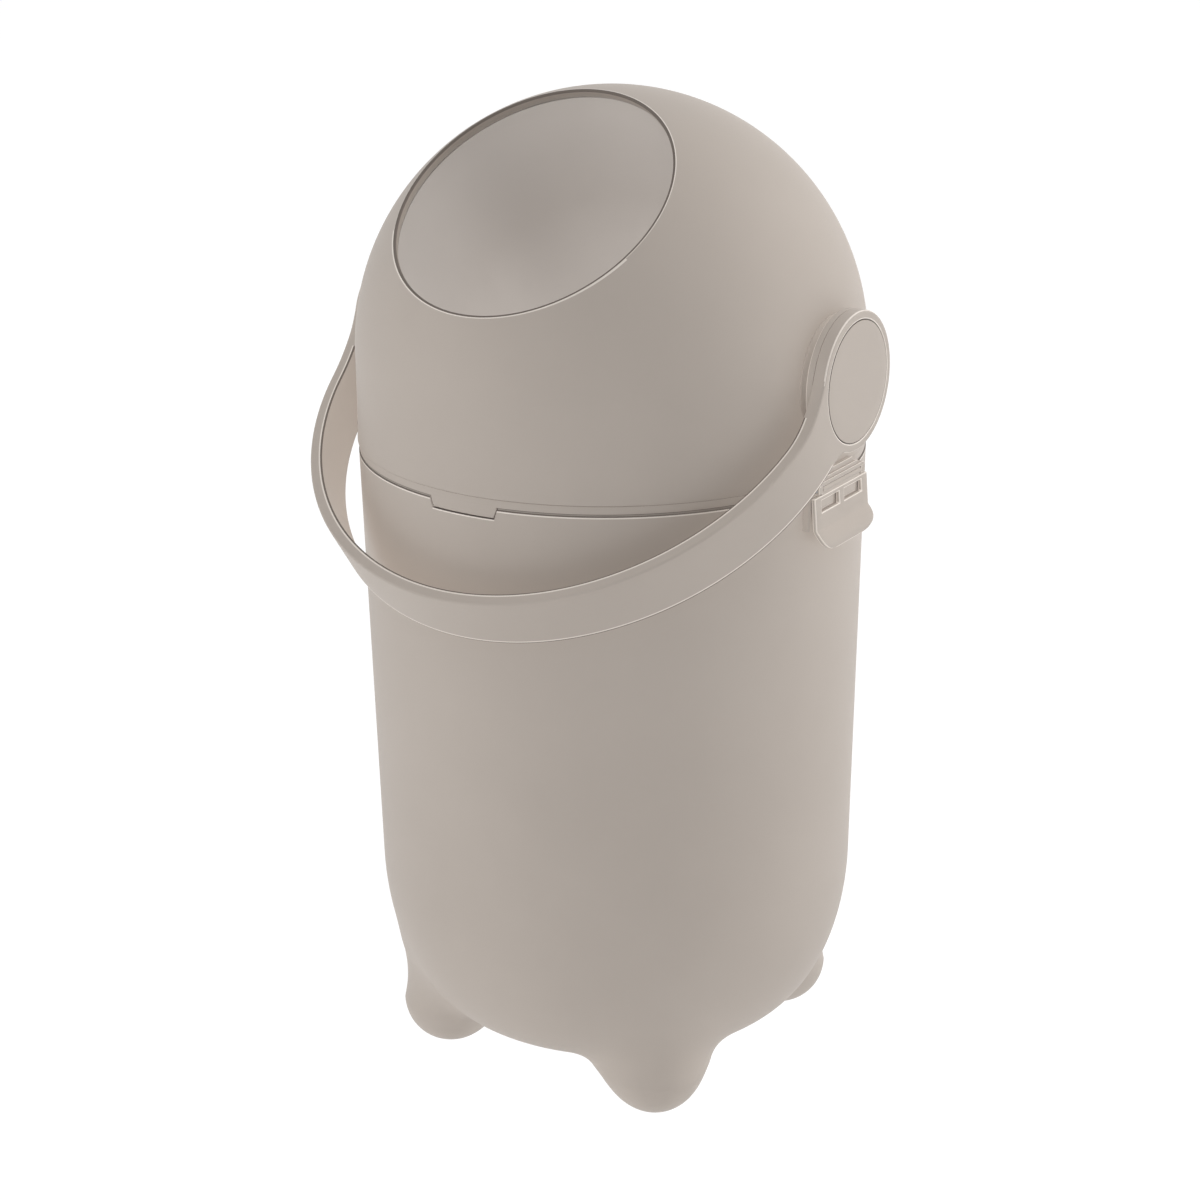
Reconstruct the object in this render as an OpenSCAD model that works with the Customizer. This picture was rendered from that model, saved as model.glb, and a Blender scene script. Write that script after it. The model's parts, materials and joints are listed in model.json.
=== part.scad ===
// Diaper pail: a tall tub on four feet, a dome lid and a drum that the handle turns over.
// Origin: floor level, at the middle of the pail's footprint with the handle hanging in front.
// +X is the side with the right hub, the front with the handle is -Y, +Z is up.

/* [Body] */
// Outer radius of the body at its rim
rim_r = 133; // [128:0.5:140]
// Height of the seam between body and lid above the floor
seam_z = 347.7; // [320:0.1:400]
// Thickness of the moulded body wall
body_wall = 3; // [2.5:0.1:4]
// Slope of the body wall, in degrees
wall_draft = 0.7; // [0:0.1:1.2]
// Open shadow line between body and lid
seam_gap = 0.6; // [0.4:0.1:1.2]
// Depth of the bag ledge below the seam
ledge_drop = 26; // [20:1:40]
// How far the bag ledge stands out of the wall
ledge_w = 5; // [4:0.5:6]

/* [Base and feet] */
// Height of the belly between the feet
belly_z = 30.4; // [24:0.1:38]
// How far the wall curves inwards at the base
corner_w = 40; // [32:1:50]
// Height over which the wall curves inwards
corner_h = 84; // [70:1:100]
// How far the middle of a foot lies inside the rim
foot_inset = 35.8; // [32:0.1:41]
// Radius of a foot's round end
foot_r = 25.6; // [22:0.1:28]
// Radius of the core that a foot grows out of
foot_root_r = 15.5; // [12:0.1:19]
// Height of that core
foot_root_z = 57.4; // [50:0.1:66]
// Length of the soft blend from foot to belly
foot_blend = 24; // [16:1:30]
// Radius of the flat land under a foot
land_r = 6; // [4:0.5:8]

/* [Lid] */
// How far the dome lies inside the body's rim
dome_inset = 0.4; // [0:0.1:3]
// Height of the dome's centre above the seam
dome_rise = 49.8; // [44:0.1:60]
// How far the dome's skirt widens down to its edge
skirt_flare = 0.9; // [0:0.1:2]
// Thickness of the dome
dome_wall = 2.6; // [2:0.1:3]
// Height of the collar ring under the dome
collar_h = 4.4; // [3.5:0.1:7]
// How far the collar lies inside the body's outline
collar_inset = 0.4; // [0:0.1:1.5]
// Half width of the front tab at the seam
tab_half_w = 19.7; // [15:0.1:26]
// Depth of the front tab
tab_h = 4.5; // [3:0.1:7]
// Radius of the opening in the dome
opening_r = 72; // [62:0.5:76]
// Direction of the opening above the horizontal, in degrees
opening_elev = 51.5; // [45:0.5:60]
// Width of the bevel round the opening
opening_bevel = 1; // [0.5:0.1:2]
// Radius of the hole through which the cup empties
chute_r = 76; // [70:0.5:80]

/* [Drum and cup] */
// Gap between the dome and the drum
drum_gap = 2; // [1.5:0.1:3]
// Thickness of the drum and the cup
drum_wall = 2.5; // [2:0.1:3]
// How much wider the cup's mouth is than the opening, at each side
cup_lap = 1.5; // [0.5:0.5:3]
// How much the cup narrows towards its round bottom, at each side
cup_taper = 7.5; // [4:0.5:12]
// Depth of the cup
cup_depth = 112; // [90:1:118]
// Width of the cup's rim
cup_rim_w = 6.2; // [5:0.1:8]

/* [Handle] */
// Air between the body's rim and the bail
bail_gap = 4; // [3.6:0.1:10]
// Thickness of the bail
bail_t = 6.6; // [6:0.1:9]
// Straight length of each arm from the hub's axis
arm_straight = 37.5; // [36:0.5:60]
// Width of the bail above the hub's plane
band_up = 13.8; // [10:0.1:18]
// Width of the bail below the hub's plane
band_down = 17.4; // [12:0.1:18]
// Angle at which the handle hangs below the horizontal, in degrees
handle_rest = 34.4; // [20:0.1:34.6]
// Radius of a hub
hub_r = 35; // [32:0.1:38]
// Radius of a hub's cap
cap_r = 30.4; // [26:0.1:31]
// Thickness of a hub's cap
cap_t = 2; // [1.5:0.1:2.4]

/* [Latches] */
// Half width of a latch plate at its top
latch_half_w = 27.5; // [24:0.1:30]
// Height of the latch's fold below the seam
fold_drop = 20.5; // [18:0.1:26]
// Height of the latch's lip under the fold
lip_h = 9.5; // [7:0.1:12]
// How far the lip flares out
lip_out = 4.6; // [3:0.1:6]
// Thickness of a latch plate
latch_t = 2.6; // [2.4:0.1:3.4]
// How far the plate leans out from its top to its fold
latch_slope = 1.4; // [0:0.1:2]
// Height of the windows in a latch
window_h = 6; // [4:0.1:7]

/* [Hidden] */
$fn = 96;

plastic = "#aea59d";
lining = "#a59c94";
rubber = "#6f6a66";
steel = "#b9bcc0";
acetal = "#e4e2dc";

seat_gap = 0.3;          // air between parts that lie against each other
run_gap = 0.05;          // radial play of a turning fit
overrun = 2;             // how far a cut passes a face

// Heights
hub_z = seam_z + dome_rise;
rim_top_z = seam_z - seam_gap / 2;
collar_z = seam_z + seam_gap / 2;
dome_foot_z = collar_z + collar_h;
ledge_z = seam_z - ledge_drop;
ledge_t = body_wall;
base_top_z = belly_z + corner_h;

// Radii that several parts share
dome_r = rim_r - dome_inset;
dome_in_r = dome_r - dome_wall;
drum_r = dome_in_r - drum_gap;
drum_in_r = drum_r - drum_wall;
collar_r = rim_r - collar_inset;
foot_skirt_w = 6;        // width of the dome's thick lower ring
dome_foot_h = 5.6;       // height of that ring
skirt_in_r = dome_in_r - foot_skirt_w;
skirt_r = dome_r + skirt_flare;

foot_ring_r = rim_r - foot_inset;

// Where the pail's axis stands, so that the origin is the middle of the footprint
bail_r = rim_r + bail_gap;
bail_out_r = bail_r + bail_t;
front_reach = (arm_straight + bail_out_r) * cos(handle_rest) + band_up * sin(handle_rest);
axis_y = (front_reach - max(rim_r, skirt_r)) / 2;

module at_axis() translate([0, axis_y, 0]) children();
module at_hub() translate([0, axis_y, hub_z]) children();
module toward_opening() at_hub() rotate([90 - opening_elev, 0, 0]) children();
module at_rest() at_hub() rotate([handle_rest, 0, 0]) children();
module along_x() rotate([90, 0, 90]) children();
module pair() {
    children();
    mirror([1, 0, 0]) children();
}

// A ring about Z between two radii
module ring(inner_r, outer_r, low_z, high_z)
    rotate_extrude() translate([inner_r, low_z]) square([outer_r - inner_r, high_z - low_z]);

// A disc whose axis is X, from one x to another
module x_disc(r, low_x, high_x)
    translate([low_x, 0, 0]) rotate([0, 90, 0]) cylinder(r = r, h = high_x - low_x);

// A block about the X axis
module x_block(side, low_x, high_x)
    translate([low_x, -side / 2, -side / 2]) cube([high_x - low_x, side, side]);

// The body's surface
// Each gap function is negative inside the body and zero on its surface, sunk by depth t.
function wall_r(z) = rim_r - (seam_z - z) * tan(wall_draft);
function tub_gap(p, t) =
    let (out = (norm([p.x, p.y]) - wall_r(p.z) + t) / corner_w + 1,
         down = (belly_z + t - p.z) / corner_h + 1)
    (min(max(out, down), 0) + norm([max(out, 0), max(down, 0)]) - 1) * sqrt(corner_w * corner_h);
land_lift = 0.2;         // the land stands this far below the round end
foot_tip = [foot_ring_r * cos(45), foot_ring_r * sin(45), foot_r + land_lift];
foot_root = [foot_tip.x, foot_tip.y, foot_root_z];
function foot_gap(p, t) =
    let (q = [abs(p.x), abs(p.y), p.z], d = foot_root - foot_tip,
         s = min(max((q - foot_tip) * d / (d * d), 0), 1))
    norm(q - foot_tip - s * d) - (foot_r + (foot_root_r - foot_r) * s) + t;
function soft_min(a, b, k) =
    let (h = min(max(0.5 + 0.5 * (b - a) / k, 0), 1)) b * (1 - h) + a * h - k * h * (1 - h);
function body_gap(p, t) = soft_min(tub_gap(p, t), foot_gap(p, t), foot_blend);

// The surface is found along rays from a point on the axis, high enough to see every side of a foot
ray_share = 1.4;
ray_z = base_top_z + ray_share * rim_r;
function reach(dir, near, far, steps, t) =
    steps == 0 ? near
    : let (mid = (near + far) / 2)
      body_gap([0, 0, ray_z] + dir * mid, t) < 0
      ? reach(dir, mid, far, steps - 1, t) : reach(dir, near, mid, steps - 1, t);

sectors = 96;            // points round the base
outer_rows = 26;         // rows of points from wall to centre, outside
inner_rows = 13;         // and inside
foot_pull = 0.45;        // how much closer the points stand at the feet, round the base
row_pull = 0.55;         // and from wall to centre
row_mid = 0.41;          // share of the rows that lies outside the feet
halvings = 15;
lap_h = 3;               // the base reaches this far up into the wall
lap_in = 0.5;            // and lies this far inside its faces there
skin = 0.04;
function sector_a(i) = let (a = 360 * i / sectors) a + foot_pull / 4 * sin(4 * a) * 180 / PI;
function row_share(s) = 1 - s + row_pull / (2 * PI) * (sin(360 * (s - row_mid)) + sin(360 * row_mid));
steep_a = atan(wall_r(base_top_z) / (ray_z - base_top_z + overrun));
function base_point(i, s, t) =
    let (a = sector_a(i), b = steep_a * row_share(s),
         dir = [sin(b) * cos(a), sin(b) * sin(a), -cos(b)])
    [0, 0, ray_z] + dir * reach(dir, ray_z / 4, ray_z + rim_r, halvings, t);
function lap_point(i, r) = let (a = sector_a(i)) [r * cos(a), r * sin(a), base_top_z + lap_h];
function shell_points(t, lap_r, rows) = concat(
    [for (i = [0:sectors - 1]) lap_point(i, lap_r)],
    [for (j = [0:rows - 1], i = [0:sectors - 1]) base_point(i, j / rows, t)],
    [base_point(0, 1, t)]);

// Rows of quads split in two, closed by a fan; the inner skin is wound the other way
function row_faces(start, rows, flip) = [for (j = [0:rows - 1], i = [0:sectors - 1])
    let (n = (i + 1) % sectors, a = start + j * sectors + i, b = start + j * sectors + n)
    each [flip ? [a, a + sectors, b] : [a, b, a + sectors],
          flip ? [b, a + sectors, b + sectors] : [b, b + sectors, a + sectors]]];
function fan_faces(start, rows, flip) = [for (i = [0:sectors - 1])
    let (n = (i + 1) % sectors, a = start + rows * sectors, tip = a + sectors)
    flip ? [a + i, tip, a + n] : [a + i, a + n, tip]];
function lip_faces(outer, inner) = [for (i = [0:sectors - 1])
    let (n = (i + 1) % sectors)
    each [[outer + i, inner + i, outer + n], [outer + n, inner + i, inner + n]]];

module base_shell() {
    outer_lap = wall_r(base_top_z) - lap_in;
    inner_lap = wall_r(base_top_z) - body_wall + lap_in;
    inner_start = (outer_rows + 1) * sectors + 1;
    polyhedron(points = concat(shell_points(skin, outer_lap, outer_rows),
                               shell_points(body_wall - skin, inner_lap, inner_rows)),
               faces = concat(row_faces(0, outer_rows, false), fan_faces(0, outer_rows, false),
                              row_faces(inner_start, inner_rows, true), fan_faces(inner_start, inner_rows, true),
                              lip_faces(0, inner_start)));
}

// The front tab and the notch it drops into are one outline
tab_slope = 1.7;
module tab_outline(grow) {
    low_z = collar_z - seam_gap - tab_h;
    polygon([[-tab_half_w - grow, collar_z], [tab_half_w + grow, collar_z],
             [tab_half_w + grow, low_z + tab_h], [tab_half_w - tab_slope + grow, low_z - grow],
             [-tab_half_w + tab_slope - grow, low_z - grow], [-tab_half_w - grow, low_z + tab_h]]);
}
module front_wedge(grow)
    rotate([90, 0, 0]) linear_extrude(height = rim_r + overrun) tab_outline(grow);

// The latch's places, which the pad behind it shares
latch_gap = 0.8;         // air between the rim and the plate
latch_top_trim = 0.4;    // the plate is this much thinner at its top
pin_drop = 1.1;          // the pin lies this far below the seam
knuckle_r = 1.7;
pad_lap = 1;             // the pad reaches this far below the fold
latch_x = rim_r + latch_gap;                        // inner face of the plate at its top
latch_top_x = latch_x + latch_t - latch_top_trim;   // outer face there
latch_out_x = latch_top_x + latch_slope;            // outer face at the fold
fold_z = seam_z - fold_drop;
pin_z = seam_z - pin_drop;
cheek_low_z = pin_z - knuckle_r;
pad_half_w = latch_half_w + 2 * seat_gap;
pad_low_z = fold_z - pad_lap;
pad_top_z = cheek_low_z - seam_gap;

module body_wall_ring() {
    low_r = wall_r(base_top_z);
    high_r = wall_r(rim_top_z);
    rotate_extrude() polygon([[low_r - body_wall, base_top_z], [low_r, base_top_z],
                              [high_r, rim_top_z], [high_r - body_wall, rim_top_z]]);
}
module latch_pad()
    pair() difference() {
        translate([rim_r - 2 * body_wall, -pad_half_w, pad_low_z])
            cube([latch_x - seat_gap - rim_r + 2 * body_wall, 2 * pad_half_w, pad_top_z - pad_low_z]);
        cylinder(r = rim_r - body_wall / 2, h = seam_z);
    }
module bag_ledge() {
    wall_in_r = wall_r(ledge_z) - body_wall;
    ring(wall_in_r - ledge_w, wall_in_r + body_wall / 2, ledge_z - ledge_t, ledge_z);
}
module pail_body() color(plastic) at_axis() {
    difference() {
        union() {
            body_wall_ring();
            latch_pad();
        }
        front_wedge(seam_gap);
    }
    bag_ledge();
    base_shell();
    for (a = [45:90:315]) rotate([0, 0, a]) translate([foot_ring_r, 0, 0]) cylinder(r = land_r, h = body_wall / 2);
}

// A loose ring holds the bag on the ledge
bag_ring_h = 8;
bag_ring_w = 9;
bag_ring_t = 2.4;
module bag_ring() color(lining) at_axis() {
    outer_r = wall_r(ledge_z) - body_wall - seat_gap;
    ring(outer_r - bag_ring_w, outer_r, ledge_z, ledge_z + bag_ring_t);
    ring(outer_r - bag_ring_t, outer_r, ledge_z, ledge_z + bag_ring_h);
}

seal_w = 1.8;
module rim_seal() color(rubber) at_axis() difference() {
    mid_r = wall_r(rim_top_z) - body_wall / 2;
    ring(mid_r - seal_w / 2, mid_r + seal_w / 2, rim_top_z, collar_z);
    front_wedge(seam_gap);
}

screw_place_share = 0.4;
thread_share = 0.8;
screw_ring_r = skirt_in_r + foot_skirt_w * screw_place_share;
screw_count = 6;
thread_r = 1.5;
head_r = 2.6;
head_h = 1.8;
flange_t = 2.6;
screw_top_z = dome_foot_z + dome_foot_h * thread_share;
module screw_places()
    for (i = [0:screw_count - 1]) rotate([0, 0, 360 * (i + 0.5) / screw_count])
        translate([screw_ring_r, 0, 0]) children();

module lid_collar() color(plastic) at_axis() {
    difference() {
        ring(skirt_in_r, collar_r, collar_z, dome_foot_z);
        screw_places() translate([0, 0, collar_z - overrun])
            cylinder(r = thread_r + run_gap, h = collar_h + 2 * overrun);
    }
    intersection() {
        front_wedge(0);
        ring(rim_r - body_wall + seat_gap, collar_r, collar_z - seam_gap - tab_h, collar_z + collar_h / 2);
    }
}

boss_r = 30;
boss_rise = 0.4;
boss_x = dome_r + boss_rise;
bush_r = 14;
journal_r = 11;

module dome_outline() {
    intersection() {
        circle(r = dome_r);
        square(dome_r + overrun);
    }
    polygon([[0, 0], [dome_r, 0], [skirt_r, dome_foot_z - hub_z], [0, dome_foot_z - hub_z]]);
}
module dome_hollow() {
    ring_top = dome_foot_z + dome_foot_h - hub_z;
    intersection() {
        circle(r = dome_in_r);
        square(dome_r);
    }
    translate([0, ring_top]) square([dome_in_r, -ring_top]);
    translate([0, dome_foot_z - hub_z - overrun]) square([skirt_in_r, dome_foot_h + 2 * overrun]);
}
module dome_shell() color(plastic) {
    bevel_h = sqrt(pow(dome_r, 2) - pow(opening_r, 2));
    difference() {
        at_hub() union() {
            rotate_extrude() dome_outline();
            pair() x_disc(boss_r, dome_in_r - boss_r / 2, boss_x);
        }
        at_hub() rotate_extrude() dome_hollow();
        toward_opening() cylinder(r = opening_r, h = dome_r + overrun);
        toward_opening() translate([0, 0, bevel_h - opening_bevel])
            cylinder(r1 = opening_r, r2 = opening_r + 2 * opening_bevel, h = 2 * opening_bevel);
        at_hub() pair() x_disc(bush_r, dome_r / 2, dome_r + overrun);
        at_axis() screw_places() translate([0, 0, dome_foot_z - overrun])
            cylinder(r = thread_r, h = screw_top_z - dome_foot_z + overrun);
    }
}

// A bowl under the drum keeps the smell in and carries the lid's spigot
flange_gap = 1.4;
cradle_t = 2.2;
cradle_flange_r = rim_r - body_wall - flange_gap;
module drum_cradle() color(lining) {
    top = collar_z - hub_z;
    cradle_r = dome_in_r + cradle_t;
    at_hub() rotate_extrude() difference() {
        intersection() {
            circle(r = cradle_r);
            translate([chute_r, -cradle_r]) square([cradle_r, cradle_r + top]);
        }
        circle(r = dome_in_r);
    }
    difference() {
        at_axis() ring(sqrt(pow(dome_in_r, 2) - pow(top, 2)) + seat_gap, cradle_flange_r,
                       collar_z - flange_t, collar_z);
        at_hub() sphere(r = dome_in_r);
        at_axis() screw_places() translate([0, 0, collar_z - flange_t - overrun])
            cylinder(r = thread_r + run_gap, h = flange_t + 2 * overrun);
    }
}

module collar_screws() color(steel) at_axis() screw_places() {
    translate([0, 0, collar_z - flange_t - head_h]) cylinder(r = head_r, h = head_h);
    translate([0, 0, collar_z - flange_t - head_h / 2])
        cylinder(r = thread_r - run_gap, h = screw_top_z - collar_z + flange_t - seat_gap);
}

// The seals lie in the gap between dome and drum
ring_seal_w = 4.5;
module ball_seal(inner_r) rotate_extrude() intersection() {
    difference() {
        circle(r = dome_in_r - seat_gap / 2);
        circle(r = drum_r + seat_gap);
    }
    translate([inner_r, 0]) square([ring_seal_w, dome_r]);
}
module opening_seal() color(rubber) toward_opening() ball_seal(opening_r + opening_bevel);
module chute_seal() color(rubber) at_hub() rotate([180, 0, 0]) ball_seal(chute_r + seat_gap);

flange_r = 18;
bush_flange_t = 1.2;
module bush() color(acetal) at_hub() difference() {
    union() {
        x_disc(bush_r - run_gap, dome_in_r - bush_flange_t, boss_x + run_gap);
        x_disc(flange_r, boss_x, boss_x + bush_flange_t);
    }
    x_disc(journal_r + run_gap, 0, dome_r + bush_r);
}
module right_bush() bush();
module left_bush() mirror([1, 0, 0]) bush();

// Latch: ribbed bracket on the dome, plate on a pin under it
pin_r = 0.8;
pin_x = rim_r + knuckle_r + seat_gap;
knuckle_half_w = 20;
cheek_half_w = 24.3;
plate_drop = 3;
bracket_trim = 0.2;
plate_top_z = pin_z - plate_drop;
bracket_x = pin_x + knuckle_r - bracket_trim;
cheek_x = rim_r + 2 * seat_gap;
block_low_z = pin_z + knuckle_r + seat_gap;
rib_h = 2.2;
rib_step = 0.5;
rib_half_w_shares = [1, 0.72, 0.62];
module bracket_block(half_w, in_x, out_x, low_z, high_z)
    translate([in_x, -half_w, low_z]) cube([out_x - in_x, 2 * half_w, high_z - low_z]);
module latch_bracket() color(plastic) at_axis() difference() {
    union() {
        bracket_block(cheek_half_w, cheek_x, bracket_x, cheek_low_z, block_low_z + rib_h / 2);
        for (i = [0:len(rib_half_w_shares) - 1])
            bracket_block(cheek_half_w * rib_half_w_shares[i], rim_r - body_wall, bracket_x - i * rib_step,
                          block_low_z + i * rib_h, block_low_z + (i + 1) * rib_h);
    }
    cylinder(r = skirt_r + run_gap, h = hub_z, $fn = 360);
    translate([dome_r / 2, -knuckle_half_w - seat_gap, 0])
        cube([dome_r, 2 * (knuckle_half_w + seat_gap), block_low_z]);
    translate([pin_x, 0, pin_z]) rotate([90, 0, 0])
        cylinder(r = pin_r + run_gap / 2, h = 3 * cheek_half_w, center = true);
}
module right_latch_bracket() latch_bracket();
module left_latch_bracket() mirror([1, 0, 0]) latch_bracket();

module latch_pin() color(steel) at_axis() translate([pin_x, 0, pin_z]) rotate([90, 0, 0])
    cylinder(r = pin_r, h = 2 * cheek_half_w, center = true);
module right_latch_pin() latch_pin();
module left_latch_pin() mirror([1, 0, 0]) latch_pin();

// Side section of the plate, in x and z, with the lip flaring under the fold
lip_z = fold_z - lip_h;
module latch_section() polygon([
    [latch_x, plate_top_z], [latch_top_x, plate_top_z], [latch_out_x, fold_z],
    [latch_out_x + lip_out, lip_z], [latch_out_x + lip_out - latch_t, lip_z - latch_t / 2],
    [latch_out_x - latch_t, fold_z - latch_t / 2]]);
latch_corner_r = 7;
module latch_face() {
    low_z = lip_z - latch_t;
    translate([-latch_half_w, low_z + latch_corner_r])
        square([2 * latch_half_w, plate_top_z - low_z]);
    translate([-latch_half_w + latch_corner_r, low_z])
        square([2 * (latch_half_w - latch_corner_r), latch_corner_r + overrun]);
    for (side = [-1, 1]) translate([side * (latch_half_w - latch_corner_r), low_z + latch_corner_r])
        circle(r = latch_corner_r);
}
window_w = 18.6;
window_bar_w = 5;
window_drop = 12.4;
window_low_z = seam_z - window_drop;
tooth_w_share = 0.62;
tooth_h_share = 0.5;
tooth_sink = 0.9;
module windows() for (side = [0, 1])
    translate([0, side * (window_w + window_bar_w) - window_w - window_bar_w / 2, window_low_z])
        difference() {
            translate([latch_x - overrun, 0, 0]) cube([latch_t + 2 * overrun, window_w, window_h]);
            translate([latch_x, 0, window_h * (1 - tooth_h_share)])
                cube([latch_t - tooth_sink, window_w * tooth_w_share, window_h]);
        }
module latch() color(plastic) at_axis() difference() {
    union() {
        intersection() {
            rotate([90, 0, 0]) linear_extrude(height = 2 * latch_half_w, center = true) latch_section();
            along_x() linear_extrude(height = rim_r + 3 * bail_t) latch_face();
        }
        translate([pin_x, 0, pin_z]) rotate([90, 0, 0])
            cylinder(r = knuckle_r, h = 2 * knuckle_half_w, center = true);
        translate([latch_x, -knuckle_half_w, plate_top_z - overrun])
            cube([latch_top_x - latch_x, 2 * knuckle_half_w, pin_z - plate_top_z + overrun]);
    }
    windows();
    translate([pin_x, 0, pin_z]) rotate([90, 0, 0])
        cylinder(r = pin_r + run_gap, h = 3 * knuckle_half_w, center = true);
}
module right_latch() latch();
module left_latch() mirror([1, 0, 0]) latch();

// Handle
web_up_r = 60;
web_down_r = 12;
drive_w = 15;
pocket_r = 12.5;
web_floor_t = 2.4;
web_floor_x = bail_r + web_floor_t;
hub_face_x = bail_out_r;
back_disc_x = boss_x + bush_flange_t + seat_gap;
module bail_outline(r, past) {
    translate([0, -arm_straight]) circle(r = r);
    translate([-r, -arm_straight]) square([2 * r, arm_straight + hub_r + past]);
}
module bail_plan() difference() {
    bail_outline(bail_out_r, overrun);
    bail_outline(bail_r, 2 * overrun);
}
// The corner between hub and arm, filled up to an arc that touches both
web_steps = 12;
module arm_web(edge, r) {
    side = sign(edge);
    inner = abs(edge) - skin;
    mid = [-sqrt(pow(hub_r - skin + r, 2) - pow(inner + r, 2)), side * (inner + r)];
    hub_a = atan2(-mid.y, -mid.x);
    arc = [for (i = [0:web_steps]) let (a = hub_a - (90 * side + hub_a) * i / web_steps)
        mid + r * [cos(a), sin(a)]];
    outline = concat([[0, 0]], arc, [[mid.x, 0]]);
    last = len(outline) - 1;
    polygon([for (i = [0:last]) outline[side > 0 ? i : last - i]]);
}
module bail_side() {
    translate([-2 * bail_r, -band_down]) square([2 * bail_r, band_up + band_down]);
    circle(r = hub_r);
    arm_web(band_up, web_up_r);
    arm_web(-band_down, web_down_r);
}
module handle_bail() color(plastic) at_rest() difference() {
    intersection() {
        translate([0, 0, -2 * hub_r]) linear_extrude(height = 4 * hub_r) bail_plan();
        translate([-2 * bail_r, 0, 0]) along_x() linear_extrude(height = 4 * bail_r) bail_side();
    }
    pair() {
        x_disc(cap_r + seat_gap, hub_face_x - cap_t, hub_face_x + overrun);
        x_disc(pocket_r, web_floor_x, hub_face_x);
        x_block(drive_w + 2 * run_gap, bail_r - overrun, hub_face_x);
    }
}
module hub_back() color(plastic) at_rest() difference() {
    x_disc(hub_r, boss_x + seat_gap, bail_r);
    x_disc(flange_r + seat_gap, boss_x, back_disc_x);
    x_block(drive_w + 2 * run_gap, boss_x, bail_r + overrun);
}
module right_hub_back() hub_back();
module left_hub_back() mirror([1, 0, 0]) hub_back();

module hub_cap() color(plastic) at_rest() x_disc(cap_r, hub_face_x - cap_t, hub_face_x);
module right_hub_cap() hub_cap();
module left_hub_cap() mirror([1, 0, 0]) hub_cap();

drum_flat_cut = 1.5;
drum_flat_x = drum_r - drum_flat_cut;
drive_in = 20;
bolt_r = 2.4;
bolt_head_t = 1.6;
bolt_in_x = drum_flat_x - drive_in / 2;
module axle() color(steel) at_rest() difference() {
    union() {
        x_block(drive_w, drum_flat_x - drive_in, web_floor_x - seat_gap / 2);
        x_disc(journal_r, drum_flat_x + seat_gap, back_disc_x - seat_gap / 2);
    }
    x_disc(bolt_r + run_gap, bolt_in_x, bail_out_r);
}
module right_axle() axle();
module left_axle() mirror([1, 0, 0]) axle();
module hub_screws() color(steel) at_rest() pair() {
    x_disc(pocket_r - 2 * seat_gap, web_floor_x, web_floor_x + bolt_head_t);
    x_disc(bolt_r, bolt_in_x + seat_gap, web_floor_x + bolt_head_t / 2);
}

// Drum: two half shells round the cup, clamped on the square ends of the axles
function ball_h(r) = sqrt(pow(drum_r, 2) - pow(r, 2));
cup_flange_t = 3.6;
cup_r = opening_r + cup_lap;
cup_rim_r = cup_r + cup_rim_w;
mouth_h = ball_h(cup_rim_r);
cup_ledge_z = mouth_h - cup_flange_t;
axle_boss_r = 17;
bolt_inset = 6.5;
bolt_ring_r = drum_in_r - bolt_inset;
bolt_boss_r = 5.5;
bolt_boss_h = 20;
bolt_head_r = 3.4;
bolt_grip = 8;
bolt_reach = 14;
bolt_angles = [35, 145, 215, 325];

module at_bolts() for (a = bolt_angles) rotate([0, 0, a]) translate([bolt_ring_r, 0, 0]) children();
module half_shell_profile() difference() {
    intersection() {
        circle(r = drum_r);
        square(drum_r);
    }
    circle(r = drum_in_r);
}
module axle_bosses() pair() difference() {
    x_disc(axle_boss_r, drum_flat_x - drive_in, drum_flat_x);
    translate([0, -drum_r, -drum_r]) cube([2 * drum_r, 2 * drum_r, drum_r]);
}
module bolt_bosses() at_bolts() cylinder(r = bolt_boss_r, h = bolt_boss_h);
module axle_cuts() rotate([opening_elev + handle_rest - 90, 0, 0]) pair() {
    x_block(drive_w + 2 * run_gap, drum_flat_x - drive_in - overrun, drum_r);
    translate([drum_flat_x, -drum_r, -drum_r]) cube([drum_r, 2 * drum_r, 2 * drum_r]);
}
module cup_seat() {
    seat_r = cup_rim_r + seat_gap;
    low_z = cup_ledge_z - drum_wall;
    translate([seat_r, low_z]) square([drum_wall, ball_h(seat_r + drum_wall) - seat_gap - low_z]);
    translate([cup_r + drum_wall + seat_gap, low_z]) square([cup_rim_w, drum_wall]);
}
module drum_front() color(plastic) toward_opening() difference() {
    union() {
        rotate_extrude() difference() {
            half_shell_profile();
            translate([0, mouth_h / 2]) square([cup_rim_r + seat_gap, drum_r]);
        }
        rotate_extrude() cup_seat();
        axle_bosses();
        bolt_bosses();
    }
    axle_cuts();
    at_bolts() translate([0, 0, -overrun]) cylinder(r = bolt_r, h = bolt_reach + 2 * overrun);
}
module drum_back() color(plastic) toward_opening() difference() {
    union() {
        mirror([0, 0, 1]) rotate_extrude() half_shell_profile();
        mirror([0, 0, 1]) axle_bosses();
        mirror([0, 0, 1]) bolt_bosses();
    }
    axle_cuts();
    at_bolts() {
        translate([0, 0, -drum_r]) cylinder(r = bolt_head_r + seat_gap, h = drum_r - bolt_grip);
        translate([0, 0, -drum_r]) cylinder(r = bolt_r + run_gap, h = drum_r + overrun);
    }
}
module drum_screws() color(steel) toward_opening() at_bolts() {
    translate([0, 0, -bolt_grip - bolt_head_t]) cylinder(r = bolt_head_r, h = bolt_head_t);
    translate([0, 0, -bolt_grip - bolt_head_t / 2]) cylinder(r = bolt_r - run_gap, h = bolt_grip + bolt_reach);
}

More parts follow.
